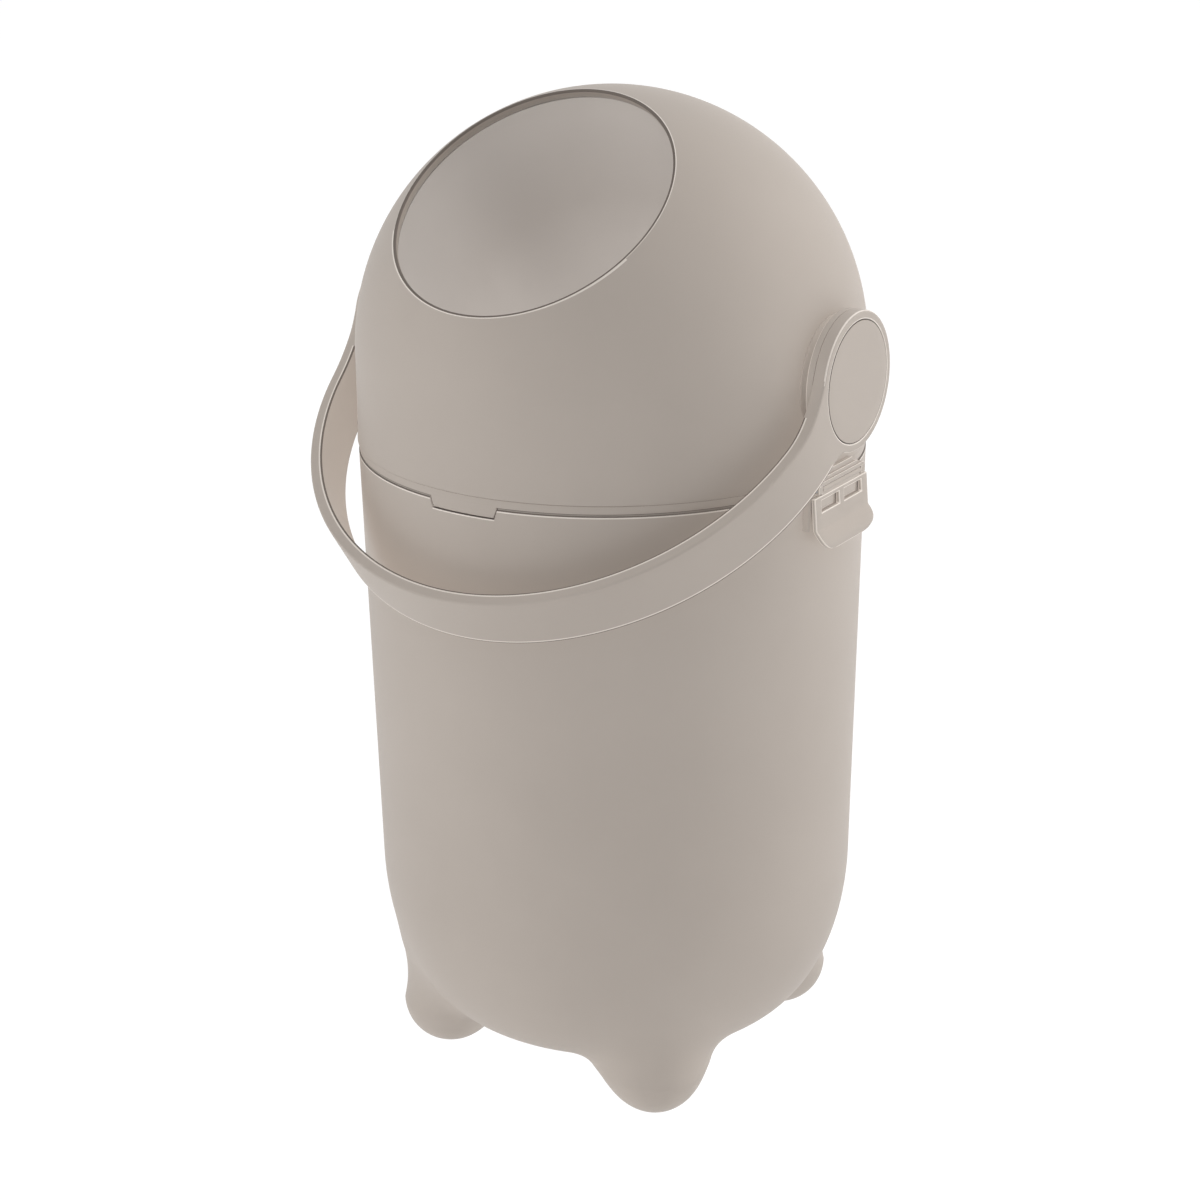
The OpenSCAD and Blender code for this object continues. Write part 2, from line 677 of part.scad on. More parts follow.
// Cup: a tapered wall that runs on into a round bottom
bottom_steps = 11;
lip_steps = 4;
bowl_r = cup_r - cup_taper;
bowl_z = mouth_h - cup_depth + bowl_r;
taper_a = atan2(mouth_h - bowl_z, cup_r) - acos(bowl_r / norm([cup_r, mouth_h - bowl_z]));
function bottom_point(r, i) =
    let (a = taper_a - (90 + taper_a) * i / bottom_steps) [r * cos(a), bowl_z + r * sin(a)];
function lip_point(i) = let (r = cup_rim_r - cup_rim_w * i / lip_steps) [r, ball_h(r)];
module cup_profile() {
    wall_r = cup_r + drum_wall / cos(taper_a) - (mouth_h - cup_ledge_z) * tan(-taper_a);
    polygon(concat([for (i = [bottom_steps:-1:0]) bottom_point(bowl_r + drum_wall, i)],
                   [[wall_r, cup_ledge_z], [cup_rim_r, cup_ledge_z]],
                   [for (i = [0:lip_steps]) lip_point(i)],
                   [[cup_r, mouth_h]],
                   [for (i = [0:bottom_steps]) bottom_point(bowl_r, i)]));
}
module drum_cup() color(lining) toward_opening() rotate_extrude() cup_profile();

pail_body();
bag_ring();
rim_seal();
lid_collar();
dome_shell();
drum_cradle();
opening_seal();
chute_seal();
collar_screws();
left_bush();
right_bush();
left_latch_bracket();
right_latch_bracket();
left_latch_pin();
right_latch_pin();
left_latch();
right_latch();
handle_bail();
left_hub_back();
right_hub_back();
left_hub_cap();
right_hub_cap();
hub_screws();
left_axle();
right_axle();
drum_front();
drum_back();
drum_cup();
drum_screws();
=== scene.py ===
import json
import math

import bmesh
import bpy
import numpy as np
from mathutils import Matrix, Vector


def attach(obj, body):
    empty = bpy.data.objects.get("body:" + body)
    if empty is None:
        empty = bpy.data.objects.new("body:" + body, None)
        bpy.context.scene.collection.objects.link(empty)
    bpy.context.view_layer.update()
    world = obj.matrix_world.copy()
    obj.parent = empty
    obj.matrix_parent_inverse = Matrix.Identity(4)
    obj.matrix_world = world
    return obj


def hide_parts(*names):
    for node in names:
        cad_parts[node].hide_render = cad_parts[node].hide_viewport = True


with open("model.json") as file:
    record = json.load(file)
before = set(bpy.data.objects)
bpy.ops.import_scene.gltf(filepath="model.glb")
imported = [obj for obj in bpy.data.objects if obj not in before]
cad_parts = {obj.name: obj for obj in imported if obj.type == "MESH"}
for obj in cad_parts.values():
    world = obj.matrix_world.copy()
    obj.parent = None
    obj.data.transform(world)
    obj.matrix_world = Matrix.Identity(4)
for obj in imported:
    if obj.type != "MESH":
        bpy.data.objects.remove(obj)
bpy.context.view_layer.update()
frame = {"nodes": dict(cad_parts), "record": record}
scene = bpy.context.scene
print("frame loaded:", len(frame["nodes"]), "nodes")

# All lengths below are in millimetres about the pail's own axis, as in the part's source
pail = {
    "axisY": 11.863,        # the axis stands this far behind the middle of the footprint
    "seamZ": 347.7,
    "seamGap": 0.6,
    "hubZ": 397.5,
    "rimR": 133.0,
    "draft": 0.7,           # degrees
}
hubZ = pail["hubZ"]
seamZ = pail["seamZ"]
rimTopZ = seamZ - pail["seamGap"] / 2
collarZ = seamZ + pail["seamGap"] / 2
draftTan = math.tan(math.radians(pail["draft"]))


# Materials

def linear(hexColour):
    # sRGB hex to linear RGBA
    parts = [int(hexColour[i:i + 2], 16) / 255 for i in (1, 3, 5)]
    return [p / 12.92 if p <= 0.04045 else ((p + 0.055) / 1.055) ** 2.4 for p in parts] + [1.0]


def addNode(tree, kind, links=None, **settings):
    # a node with its settings (inputs by number or name, properties by name) and its links
    node = tree.nodes.new(kind)
    for key, value in settings.items():
        if key == "inputs":
            for socket, number in value.items():
                node.inputs[socket].default_value = number
        else:
            setattr(node, key, value)
    for socket, source in (links or {}).items():
        tree.links.new(source, node.inputs[socket])
    return node


def newMaterial(name):
    material = bpy.data.materials.new(name)
    material.use_nodes = True
    tree = material.node_tree
    tree.nodes.clear()
    output = tree.nodes.new("ShaderNodeOutputMaterial")
    place = addNode(tree, "ShaderNodeTexCoord")
    return material, tree, output, place.outputs["Object"]


def mouldedPlastic(name, colour, shade, roughness, grainMm, grainDepth, ior=1.49):
    # Moulded polypropylene: the mould's fine spark-eroded texture gives soft, wide highlights,
    # and the melt leaves very faint clouds of lighter and darker colour.
    material, tree, output, place = newMaterial(name)
    clouds = addNode(tree, "ShaderNodeTexNoise", {"Vector": place},
                     inputs={"Scale": 9.0, "Detail": 3.0, "Roughness": 0.5})      # about 110 mm
    ramp = addNode(tree, "ShaderNodeValToRGB", {"Fac": clouds.outputs["Fac"]})
    ramp.color_ramp.elements[0].position = 0.3
    ramp.color_ramp.elements[0].color = linear(shade)
    ramp.color_ramp.elements[1].position = 0.7
    ramp.color_ramp.elements[1].color = linear(colour)
    # Painted shade: narrow gaps between the mouldings are darkened towards #3f3a37 where the ambient
    # occlusion node finds them hemmed in, so they read as fine dark lines
    gapShade = addNode(tree, "ShaderNodeAmbientOcclusion", samples=6, inputs={"Distance": 0.0016})
    depth = addNode(tree, "ShaderNodeMapRange", {"Value": gapShade.outputs["AO"]},
                    inputs={"From Min": 0.05, "From Max": 0.60, "To Min": 0.90, "To Max": 0.0})
    tint = addNode(tree, "ShaderNodeMix", {0: depth.outputs["Result"], 6: ramp.outputs["Color"]},
                   data_type="RGBA", inputs={7: linear("#3f3a37")})
    # The real grain is about 0.2 mm, too fine for the render, so it is drawn at grainMm
    grain = addNode(tree, "ShaderNodeTexNoise", {"Vector": place},
                    inputs={"Scale": 1000.0 / grainMm, "Detail": 2.0, "Roughness": 0.6})
    dull = addNode(tree, "ShaderNodeMapRange", {"Value": grain.outputs["Fac"]},
                   inputs={"From Min": 0.3, "From Max": 0.7,
                           "To Min": roughness - 0.04, "To Max": roughness + 0.04})
    bump = addNode(tree, "ShaderNodeBump", {"Height": grain.outputs["Fac"]},
                   inputs={"Strength": grainDepth, "Distance": 0.0002})
    shader = addNode(tree, "ShaderNodeBsdfPrincipled",
                     {"Base Color": tint.outputs[2], "Roughness": dull.outputs["Result"],
                      "Normal": bump.outputs["Normal"]},
                     inputs={"IOR": ior, "Metallic": 0.0, "Specular IOR Level": 0.25})
    tree.links.new(shader.outputs["BSDF"], output.inputs["Surface"])
    return material


def zincSteel(name):
    # Zinc-plated turned steel: pale, slightly blue metal with fine rings from the lathe
    material, tree, output, place = newMaterial(name)
    grain = addNode(tree, "ShaderNodeTexNoise", {"Vector": place},
                    inputs={"Scale": 900.0, "Detail": 3.0})
    ramp = addNode(tree, "ShaderNodeValToRGB", {"Fac": grain.outputs["Fac"]})
    ramp.color_ramp.elements[0].color = linear("#aab0b6")
    ramp.color_ramp.elements[1].color = linear("#ccd0d4")
    dull = addNode(tree, "ShaderNodeMapRange", {"Value": grain.outputs["Fac"]},
                   inputs={"To Min": 0.28, "To Max": 0.42})
    shader = addNode(tree, "ShaderNodeBsdfPrincipled",
                     {"Base Color": ramp.outputs["Color"], "Roughness": dull.outputs["Result"]},
                     inputs={"Metallic": 1.0})
    tree.links.new(shader.outputs["BSDF"], output.inputs["Surface"])
    return material


def sealRubber(name):
    # Moulded thermoplastic rubber: dull, with a dusty bloom that lightens it in patches
    material, tree, output, place = newMaterial(name)
    bloom = addNode(tree, "ShaderNodeTexNoise", {"Vector": place},
                    inputs={"Scale": 60.0, "Detail": 4.0, "Roughness": 0.6})
    ramp = addNode(tree, "ShaderNodeValToRGB", {"Fac": bloom.outputs["Fac"]})
    ramp.color_ramp.elements[0].color = linear("#8a827b")
    ramp.color_ramp.elements[1].color = linear("#979088")
    bump = addNode(tree, "ShaderNodeBump", {"Height": bloom.outputs["Fac"]},
                   inputs={"Strength": 0.1, "Distance": 0.0002})
    shader = addNode(tree, "ShaderNodeBsdfPrincipled",
                     {"Base Color": ramp.outputs["Color"], "Normal": bump.outputs["Normal"]},
                     inputs={"Roughness": 0.7, "IOR": 1.52, "Metallic": 0.0})
    tree.links.new(shader.outputs["BSDF"], output.inputs["Surface"])
    return material


finishes = {
    "taupe_plastic": mouldedPlastic("mouldedTaupePolypropylene", "#aca39b", "#a89f97", 0.50, 0.7, 0.10),
    "cup_plastic": mouldedPlastic("mouldedCupPolypropylene", "#aaa49f", "#a6a09b", 0.50, 0.7, 0.06),
    "drum_plastic": mouldedPlastic("mouldedDrumPolypropylene", "#b1a8a0", "#ada49c", 0.42, 0.8, 0.06),
    "lining_plastic": mouldedPlastic("mouldedLiningPolypropylene", "#a69d95", "#a19890", 0.52, 0.8, 0.08),
    "bush_plastic": mouldedPlastic("turnedAcetal", "#e6e3dc", "#dfdcd5", 0.30, 0.8, 0.05, 1.48),
    "seal_rubber": sealRubber("mouldedSealRubber"),
    "steel": zincSteel("zincPlatedSteel"),
}
# Painted shade: a dark strip on the edges that turn away from the front, standing in for the shade on them
edgeShade = mouldedPlastic("paintedEdgeShade", "#6b635d", "#675f59", 0.60, 0.7, 0.06)
# Painted shade: the wall of the opening faces inward and is coloured darker than the dome, standing in for
# its shade; it is also a little duller
shadedOpeningWall = mouldedPlastic("paintedShadeOpeningWall", "#958c85", "#91887f", 0.60, 0.7, 0.06)
# Painted highlight: a lighter colour on outer edges for the thin line of light they catch; it is also a
# little smoother
edgeHighlight = mouldedPlastic("paintedEdgeHighlight", "#d8d0c8", "#d4ccc4", 0.40, 0.7, 0.02)
print("materials made:", len(finishes))


# Shapes

def toMetres(points):
    p = np.asarray(points, float).reshape(-1, 3).copy()
    p[:, 1] += pail["axisY"]
    return p * 0.001


def makePiece(name, points, faces, body, slotName, nodes=(), sharp=35.0, weld=0.004):
    # a smooth mesh from points in millimetres, welded, with its normals outward and its creases kept
    mesh = bpy.data.meshes.new(name)
    mesh.from_pydata([tuple(p) for p in toMetres(points)], [], [list(f) for f in faces])
    work = bmesh.new()
    work.from_mesh(mesh)
    bmesh.ops.remove_doubles(work, verts=work.verts, dist=weld * 0.001)
    bmesh.ops.dissolve_degenerate(work, edges=work.edges, dist=weld * 0.0005)
    bmesh.ops.recalc_face_normals(work, faces=work.faces)
    work.to_mesh(mesh)
    work.free()
    for polygon in mesh.polygons:
        polygon.use_smooth = True
    mesh.set_sharp_from_angle(angle=math.radians(sharp))
    piece = bpy.data.objects.new(name, mesh)
    scene.collection.objects.link(piece)
    piece.data.materials.append(finishes[slotName])
    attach(piece, body)
    if nodes:
        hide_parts(*nodes)
    return piece


def finishFaces(piece, material, isPicked):
    # faces picked by their centre, in millimetres about the pail's axis, take another finish
    piece.data.materials.append(material)
    slot = len(piece.data.materials) - 1
    for polygon in piece.data.polygons:
        centre = np.array(polygon.center) * 1000
        centre[1] -= pail["axisY"]
        if isPicked(centre):
            polygon.material_index = slot


def roundEdges(piece, width, segments=3, angle=30.0, lit=False):
    # rounded edges; on lit ones the bevel takes a painted highlight, a lighter colour for the line of light
    # the edge catches
    bevel = piece.modifiers.new("softEdges", "BEVEL")
    bevel.width = width * 0.001
    bevel.segments = segments
    bevel.limit_method = "ANGLE"
    bevel.angle_limit = math.radians(angle)
    bevel.harden_normals = False
    if lit:
        piece.data.materials.append(edgeHighlight)
        bevel.material = len(piece.data.materials) - 1
    return piece


def loftFaces(count, perRing, ringClosed=True, loftClosed=False, start=0):
    # quads between rings of points that follow one another
    faces = []
    for i in range(count if loftClosed else count - 1):
        a = start + i * perRing
        b = start + ((i + 1) % count) * perRing
        for j in range(perRing if ringClosed else perRing - 1):
            k = (j + 1) % perRing
            faces.append((a + j, a + k, b + k, b + j))
    return faces


def arc(centre, radius, fromDeg, toDeg, steps):
    # points on an arc in a plane, both ends included
    return [(centre[0] + radius * math.cos(math.radians(fromDeg + (toDeg - fromDeg) * i / steps)),
             centre[1] + radius * math.sin(math.radians(fromDeg + (toDeg - fromDeg) * i / steps)))
            for i in range(steps + 1)]


def revolve(name, section, place, sectors, body, slotName, nodes=(), sharp=35.0):
    # a closed section of (radius, height) pairs turned about an axis; place(radius, height, angle) -> point
    points = []
    for i in range(sectors):
        angle = 2 * math.pi * i / sectors
        points += [place(r, h, angle) for r, h in section]
    faces = loftFaces(sectors, len(section), True, True)
    return makePiece(name, points, faces, body, slotName, nodes, sharp)


def aboutAxis(r, h, angle):
    return (r * math.cos(angle), r * math.sin(angle), h)


def aboutHub(side):
    # the hubs' axis: height is the distance from the middle plane
    return lambda r, h, angle: (side * h, r * math.cos(angle), hubZ + r * math.sin(angle))


# Tub: tapered wall, rounded base and four moulded feet

tub = {
    "wall": 3.0,
    "bellyZ": 30.4,
    "cornerW": 40.0,
    "cornerH": 84.0,
    "footRing": 97.2,
    "footR": 25.6,
    "rootR": 15.5,
    "rootZ": 57.4,
    "blend": 24.0,
    "landSink": 0.5,        # the round end of a foot is cut off this far up
    "rimRound": 0.5,
    "ledgeZ": 321.7,
    "ledgeW": 5.0,
    "tabHalfW": 19.7,
    "tabH": 4.5,
    "tabSlope": 1.7,
    "litW": 0.7,            # painted highlight: a lighter line under the seam
    "sectors": 384,
    "rows": 150,
    "footPull": 0.45,       # how much closer the points stand at the feet, round the base
    "rowPull": 0.55,        # and from wall to centre
    "rowMid": 0.41,         # share of the rows that lies outside the feet
    "rayShare": 1.4,        # height of the rays' source over the base, in rim radii
    "halvings": 34,
    "notchClear": 0.035,    # no column stands closer to the notch's sides, in radians
}


def wallR(z):
    return pail["rimR"] - (seamZ - z) * draftTan


def bodyGap(p, t):
    # negative inside the body, zero on its surface, sunk by t
    r = np.hypot(p[..., 0], p[..., 1])
    out = (r - wallR(p[..., 2]) + t) / tub["cornerW"] + 1
    down = (tub["bellyZ"] + t - p[..., 2]) / tub["cornerH"] + 1
    shell = (np.minimum(np.maximum(out, down), 0) + np.hypot(np.maximum(out, 0), np.maximum(down, 0)) - 1)
    shell *= math.sqrt(tub["cornerW"] * tub["cornerH"])
    c = math.sqrt(0.5) * tub["footRing"]
    tip = np.array([c, c, tub["footR"] - tub["landSink"]])
    root = np.array([c, c, tub["rootZ"]])
    q = np.stack([np.abs(p[..., 0]), np.abs(p[..., 1]), p[..., 2]], -1)
    d = root - tip
    s = np.clip(((q - tip) @ d) / (d @ d), 0, 1)
    footR = tub["footR"] + (tub["rootR"] - tub["footR"]) * s
    foot = np.linalg.norm(q - tip - s[..., None] * d, axis=-1) - footR + t
    k = tub["blend"]
    h = np.clip(0.5 + 0.5 * (foot - shell) / k, 0, 1)
    return foot * (1 - h) + shell * h - k * h * (1 - h)


baseTopZ = tub["bellyZ"] + tub["cornerH"]
rayZ = baseTopZ + tub["rayShare"] * pail["rimR"]


def baseRows(t, sectors, rows):
    # points where rays from high on the axis leave the body, closer together at the feet
    a = 2 * np.pi * np.arange(sectors) / sectors
    a = a + tub["footPull"] / 4 * np.sin(4 * a)
    s = np.arange(1, rows + 1) / rows
    wave = np.sin(2 * np.pi * (s - tub["rowMid"])) + math.sin(2 * np.pi * tub["rowMid"])
    share = 1 - s + tub["rowPull"] / (2 * np.pi) * wave
    b = math.atan((wallR(baseTopZ) - t) / (rayZ - baseTopZ)) * share
    direction = np.stack([np.sin(b)[:, None] * np.cos(a), np.sin(b)[:, None] * np.sin(a),
                          -np.cos(b)[:, None] * np.ones(sectors)], -1)
    near = np.full((rows, sectors), rayZ / 4)
    far = np.full((rows, sectors), rayZ + 60.0)
    source = np.array([0, 0, rayZ])
    for _ in range(tub["halvings"]):
        mid = (near + far) / 2
        inside = bodyGap(source + direction * mid[..., None], t) < 0
        near = np.where(inside, mid, near)
        far = np.where(inside, far, mid)
    found = source + direction * near[..., None]
    found[..., 2] = np.maximum(found[..., 2], t)
    return a, found


def tubWall(azimuths):
    # the wall from base to rim and back down inside, as one open section for each azimuth
    notchZ = collarZ - pail["seamGap"] - tub["tabH"] - pail["seamGap"]
    rr = tub["rimRound"]
    top = wallR(rimTopZ)
    inner = top - tub["wall"]
    section = [(wallR(z), z) for z in np.linspace(baseTopZ, notchZ - tub["litW"], 23)]
    upperZs = (notchZ, (notchZ + rimTopZ) / 2, rimTopZ - rr - tub["litW"], rimTopZ - rr)
    section += [(wallR(z), z) for z in upperZs]
    section += arc((top - rr, rimTopZ - rr), rr, 0, 90, 4)[1:]
    section += arc((inner + rr, rimTopZ - rr), rr, 90, 180, 4)
    section += [(inner, notchZ)]
    ledgeR = wallR(tub["ledgeZ"]) - tub["wall"]
    section += [(ledgeR, tub["ledgeZ"]), (ledgeR - tub["ledgeW"], tub["ledgeZ"]),
                (ledgeR - tub["ledgeW"], tub["ledgeZ"] - 3), (ledgeR - 0.04, tub["ledgeZ"] - 3)]
    section += [(wallR(z) - tub["wall"], z) for z in np.linspace(tub["ledgeZ"] - 20, baseTopZ, 6)]
    lowHalf = tub["tabHalfW"] - tub["tabSlope"] + pail["seamGap"]

    def edgeAngle(z):
        rise = min(max((z - notchZ - pail["seamGap"]) / tub["tabH"], 0), 1)
        return math.asin((lowHalf + tub["tabSlope"] * rise) / pail["rimR"])

    columns = []
    lowAngle = edgeAngle(notchZ)
    for a in azimuths:
        off = (a + math.pi / 2 + math.pi) % (2 * math.pi) - math.pi      # angle from the front
        inNotch = abs(off) < lowAngle
        columns.append([(r, min(z, notchZ) if inNotch else z, a) for r, z in section])
    # the notch's two sides: a cut section and a full one that leans with the tab
    for side in (-1, 1):
        cut = [(r, min(z, notchZ), -math.pi / 2 + side * lowAngle) for r, z in section]
        full = [(r, z, -math.pi / 2 + side * edgeAngle(z)) for r, z in section]
        columns += [cut, full] if side > 0 else [full, cut]
    columns.sort(key=lambda c: (c[0][2] + 1e-9 * (c[30][1] * (1 if c[0][2] > -math.pi / 2 else -1))))
    return [[(r * math.cos(a), r * math.sin(a), z) for r, z, a in column] for column in columns]


def buildTub():
    az = np.linspace(-math.pi, math.pi, 361)[:-1]
    notch = math.asin((tub["tabHalfW"] + 1) / pail["rimR"])
    keep = [a for a in az if abs(abs(a + math.pi / 2) - notch) > tub["notchClear"]]
    columns = tubWall(keep)
    points = [p for column in columns for p in column]
    faces = loftFaces(len(columns), len(columns[0]), False, True)
    # base, outside and inside
    for t, sectors, rows in ((0.0, tub["sectors"], tub["rows"]), (tub["wall"], 128, 40)):
        a, found = baseRows(t, sectors, rows)
        start = len(points)
        r = wallR(baseTopZ) - t
        points += [(r * math.cos(v), r * math.sin(v), baseTopZ) for v in a]
        points += [tuple(p) for p in found[:-1].reshape(-1, 3)]
        faces += loftFaces(rows, sectors, True, False, start)
        tip = len(points)
        points.append(tuple(found[-1, 0]))
        last = start + (rows - 1) * sectors
        faces += [(last + j, last + (j + 1) % sectors, tip) for j in range(sectors)]
    shell = makePiece("tubShell", points, faces, "pail", "taupe_plastic", ["pail_body"], sharp=40)
    notchZ = collarZ - pail["seamGap"] - tub["tabH"] - pail["seamGap"]
    half = tub["tabHalfW"] - 0.5

    def inNotch(x, y):
        return y < 0 and abs(x) < half

    def isLit(centre):
        x, y, z = centre
        if math.hypot(x, y) < wallR(z) - 0.3:
            return False
        edgeZ = notchZ if inNotch(x, y) else rimTopZ - tub["rimRound"]
        return edgeZ - tub["litW"] < z < edgeZ

    def isTop(centre):
        x, y, z = centre
        edgeZ = notchZ - 0.01 if inNotch(x, y) else rimTopZ - tub["rimRound"]
        return z > edgeZ and math.hypot(x, y) > wallR(z) - 2.5

    # Painted highlight: a lighter strip just under the rim's rounding and the notch's edge; painted shade:
    # the rim's rounding and top are coloured dark
    finishFaces(shell, edgeHighlight, isLit)
    finishFaces(shell, edgeShade, isTop)
    return shell


buildTub()

latchPad = {"frontX": 133.5, "halfW": 28.1, "lowZ": 326.2, "topZ": 344.3, "backR": 131.4, "round": 1.0}


def buildPad(side):
    ys = np.linspace(-latchPad["halfW"], latchPad["halfW"], 13)
    points = []
    for y in ys:
        back = math.sqrt(latchPad["backR"] ** 2 - y * y)
        for x, z in ((latchPad["frontX"], latchPad["lowZ"]), (latchPad["frontX"], latchPad["topZ"]),
                     (back, latchPad["topZ"]), (back, latchPad["lowZ"])):
            points.append((side * x, y, z))
    faces = loftFaces(len(ys), 4)
    faces += [(0, 1, 2, 3), tuple(len(points) - 4 + i for i in (3, 2, 1, 0))]
    return roundEdges(makePiece("latchPad" + ("Right" if side > 0 else "Left"), points, faces, "pail",
                                "taupe_plastic"), latchPad["round"], 4)


for side in (1, -1):
    buildPad(side)
print("tub made")


# Dome: a half sphere over a slightly flared skirt, with the round opening cut at a slant

dome = {
    "r": 132.6,
    "wall": 2.6,
    "flare": 0.85,
    "footZ": collarZ + 4.4,
    "footH": 5.6,
    "footW": 6.0,
    "openingR": 72.0,
    "elevation": 51.5,
    "edgeRound": 0.9,
    "footRound": 0.7,
    "bossR": 30.0,
    "bossX": 133.0,
    "bossBackX": 126.0,
    "bossHoleR": 22.0,
    "bossRound": 0.5,
    "bossFillet": 3.0,
    "bossFilletX": 132.2,
    "sectors": 320,
    "rows": 84,
}
elev = math.radians(dome["elevation"])
mouthAxis = np.array([0, -math.cos(elev), math.sin(elev)])
mouthUp = np.array([0, math.sin(elev), math.cos(elev)])
hubCentre = np.array([0, 0, hubZ])


def aboutMouth(r, h, angle):
    p = hubCentre + mouthAxis * h + r * (math.cos(angle) * np.array([1, 0, 0]) + math.sin(angle) * mouthUp)
    return tuple(p)


def slerpRows(start, end, rows, radius):
    a = start / np.linalg.norm(start)
    b = end / np.linalg.norm(end)
    angle = math.acos(max(-1, min(1, float(a @ b))))
    shares = np.linspace(0, 1, rows + 1)
    between = [math.sin((1 - t) * angle) * a + math.sin(t * angle) * b for t in shares]
    return [tuple(hubCentre + radius * p / math.sin(angle)) for p in between]


def domeColumn(angle):
    r, wall, er, fr = dome["r"], dome["wall"], dome["edgeRound"], dome["footRound"]
    inner = r - wall
    skirtH = hubZ - dome["footZ"]
    equator = np.array([math.cos(angle), math.sin(angle), 0.0])

    def skirtR(z):
        return r + dome["flare"] * ((hubZ - z) / skirtH) ** 2

    def level(radius, z):
        return (radius * equator[0], radius * equator[1], z)

    column = [level(skirtR(dome["footZ"]) - fr + fr * math.cos(v), dome["footZ"] + fr - fr * math.sin(v))
              for v in np.linspace(math.pi / 2, 0, 5)]
    column += [level(skirtR(z), z) for z in np.linspace(dome["footZ"] + fr, hubZ, 14)[1:-1]]
    # rounded edge of the opening, in the plane of the mouth's axis
    openR = dome["openingR"]
    edgeAngle = math.asin((openR + er) / (r - er))
    edgeMid = ((openR + er), (r - er) * math.cos(edgeAngle))
    outward = 90 - math.degrees(edgeAngle)
    rounding = arc(edgeMid, er, outward, 180, 6)
    first = np.array(aboutMouth(rounding[0][0], rounding[0][1], angle)) - hubCentre
    rowsUp = slerpRows(equator, first, dome["rows"], r)
    away = np.array(rowsUp[-2]) - hubCentre
    column += rowsUp[:-1]
    column.append(slerpRows(away, first, 4, r)[3])
    column.append(rowsUp[-1])
    column += [aboutMouth(p[0], p[1], angle) for p in rounding[1:]]
    innerH = math.sqrt(inner ** 2 - openR ** 2)
    column.append(aboutMouth(openR, innerH, angle))
    innerEdge = np.array(aboutMouth(openR, innerH, angle)) - hubCentre
    column += slerpRows(innerEdge, equator, 40, inner)[1:]
    ringTop = dome["footZ"] + dome["footH"]
    ringR = inner - dome["footW"]
    column += [level(inner, ringTop), level(ringR, ringTop), level(ringR, dome["footZ"])]
    return column


def buildDome():
    columns = [domeColumn(2 * math.pi * i / dome["sectors"]) for i in range(dome["sectors"])]
    points = [p for column in columns for p in column]
    faces = loftFaces(len(columns), len(columns[0]), True, True)
    shell = makePiece("domeShell", points, faces, "lid", "taupe_plastic", ["dome_shell"], sharp=30)

    def mouthPlace(centre):
        p = centre - hubCentre
        h = float(p @ mouthAxis)
        return (math.sqrt(max(float(p @ p) - h * h, 0)), h)

    edgeR = dome["openingR"] + dome["edgeRound"]
    roundEndR = edgeR + dome["edgeRound"] * edgeR / (dome["r"] - dome["edgeRound"])

    def isRounding(centre):
        r, h = mouthPlace(centre)
        return (h > 100 and dome["openingR"] + 0.02 < r < roundEndR) or centre[2] < dome["footZ"] + 0.25

    def isRim(centre):
        r, h = mouthPlace(centre)
        return h > 100 and math.hypot(r, h) > dome["r"] - 0.5 and roundEndR < r < roundEndR + 0.6

    def isBore(centre):
        r, h = mouthPlace(centre)
        return h > 100 and r <= dome["openingR"] + 0.02

    # Painted shade: the opening's rounded edge and the skirt's foot are coloured dark and the opening's wall
    # darker; painted highlight: a lighter ring just outside the opening's rounding
    finishFaces(shell, edgeShade, isRounding)
    finishFaces(shell, shadedOpeningWall, isBore)
    finishFaces(shell, edgeHighlight, isRim)
    return shell


buildDome()
for side in (1, -1):
    r, rr = dome["bossR"], dome["bossRound"]
    section = [(dome["bossHoleR"], dome["bossBackX"]), (r + 2, dome["bossBackX"])]
    section += arc((r + dome["bossFillet"], dome["bossFilletX"]), dome["bossFillet"], 250, 180, 4)
    section += arc((r - rr, dome["bossX"] - rr), rr, 0, 90, 3) + [(dome["bossHoleR"], dome["bossX"])]
    hand = "Right" if side > 0 else "Left"
    revolve("hubBoss" + hand, section, aboutHub(side), 96, "lid", "taupe_plastic")
print("dome made")


# Collar ring with the tab that drops into the body's notch

collar = {"outerR": 132.6, "innerR": 124.0, "h": 4.4, "round": 0.35, "tabR": 132.62, "tabInnerR": 130.3}


def buildCollar():
    r, rr, h = collar["outerR"], collar["round"], collar["h"]
    section = arc((r - rr, collarZ + rr), rr, -90, 0, 3) + arc((r - rr, collarZ + h - rr), rr, 0, 90, 3)
    section += [(collar["innerR"], collarZ + h), (collar["innerR"], collarZ)]
    ring = revolve("collarRing", section, aboutAxis, 320, "lid", "taupe_plastic", ["lid_collar"])
    # Painted shade: the collar's lower rounded edge above the seam is coloured dark
    finishFaces(ring, edgeShade, lambda c: c[2] < collarZ + 0.85 * rr and math.hypot(c[0], c[1]) > r - 0.5)
    lowZ = collarZ - pail["seamGap"] - tub["tabH"]
    heights = list(np.linspace(lowZ, lowZ + tub["tabH"], 5)) + [collarZ + 1.5]
    points = []
    steps = 25
    for z in heights:
        rise = min((z - lowZ) / tub["tabH"], 1)
        half = tub["tabHalfW"] - tub["tabSlope"] * (1 - rise)
        reach = math.asin(half / collar["tabR"])
        for radius in (collar["tabR"], collar["tabInnerR"]):
            row = [-math.pi / 2 + reach * (2 * i / (steps - 1) - 1) for i in range(steps)]
            row = row if radius == collar["tabR"] else row[::-1]
            points += [(radius * math.cos(a), radius * math.sin(a), z) for a in row]
    per = 2 * steps
    faces = loftFaces(len(heights), per)
    last = (len(heights) - 1) * per
    for j in range(steps - 1):
        faces.append((j, j + 1, per - 2 - j, per - 1 - j))
        faces.append((last + j, last + j + 1, last + per - 2 - j, last + per - 1 - j))
    roundEdges(makePiece("collarTab", points, faces, "lid", "taupe_plastic"), 0.35, 2, 40)


buildCollar()
print("collar made")


# Handle: flat bail with soft edges, two hub rings, backs and caps

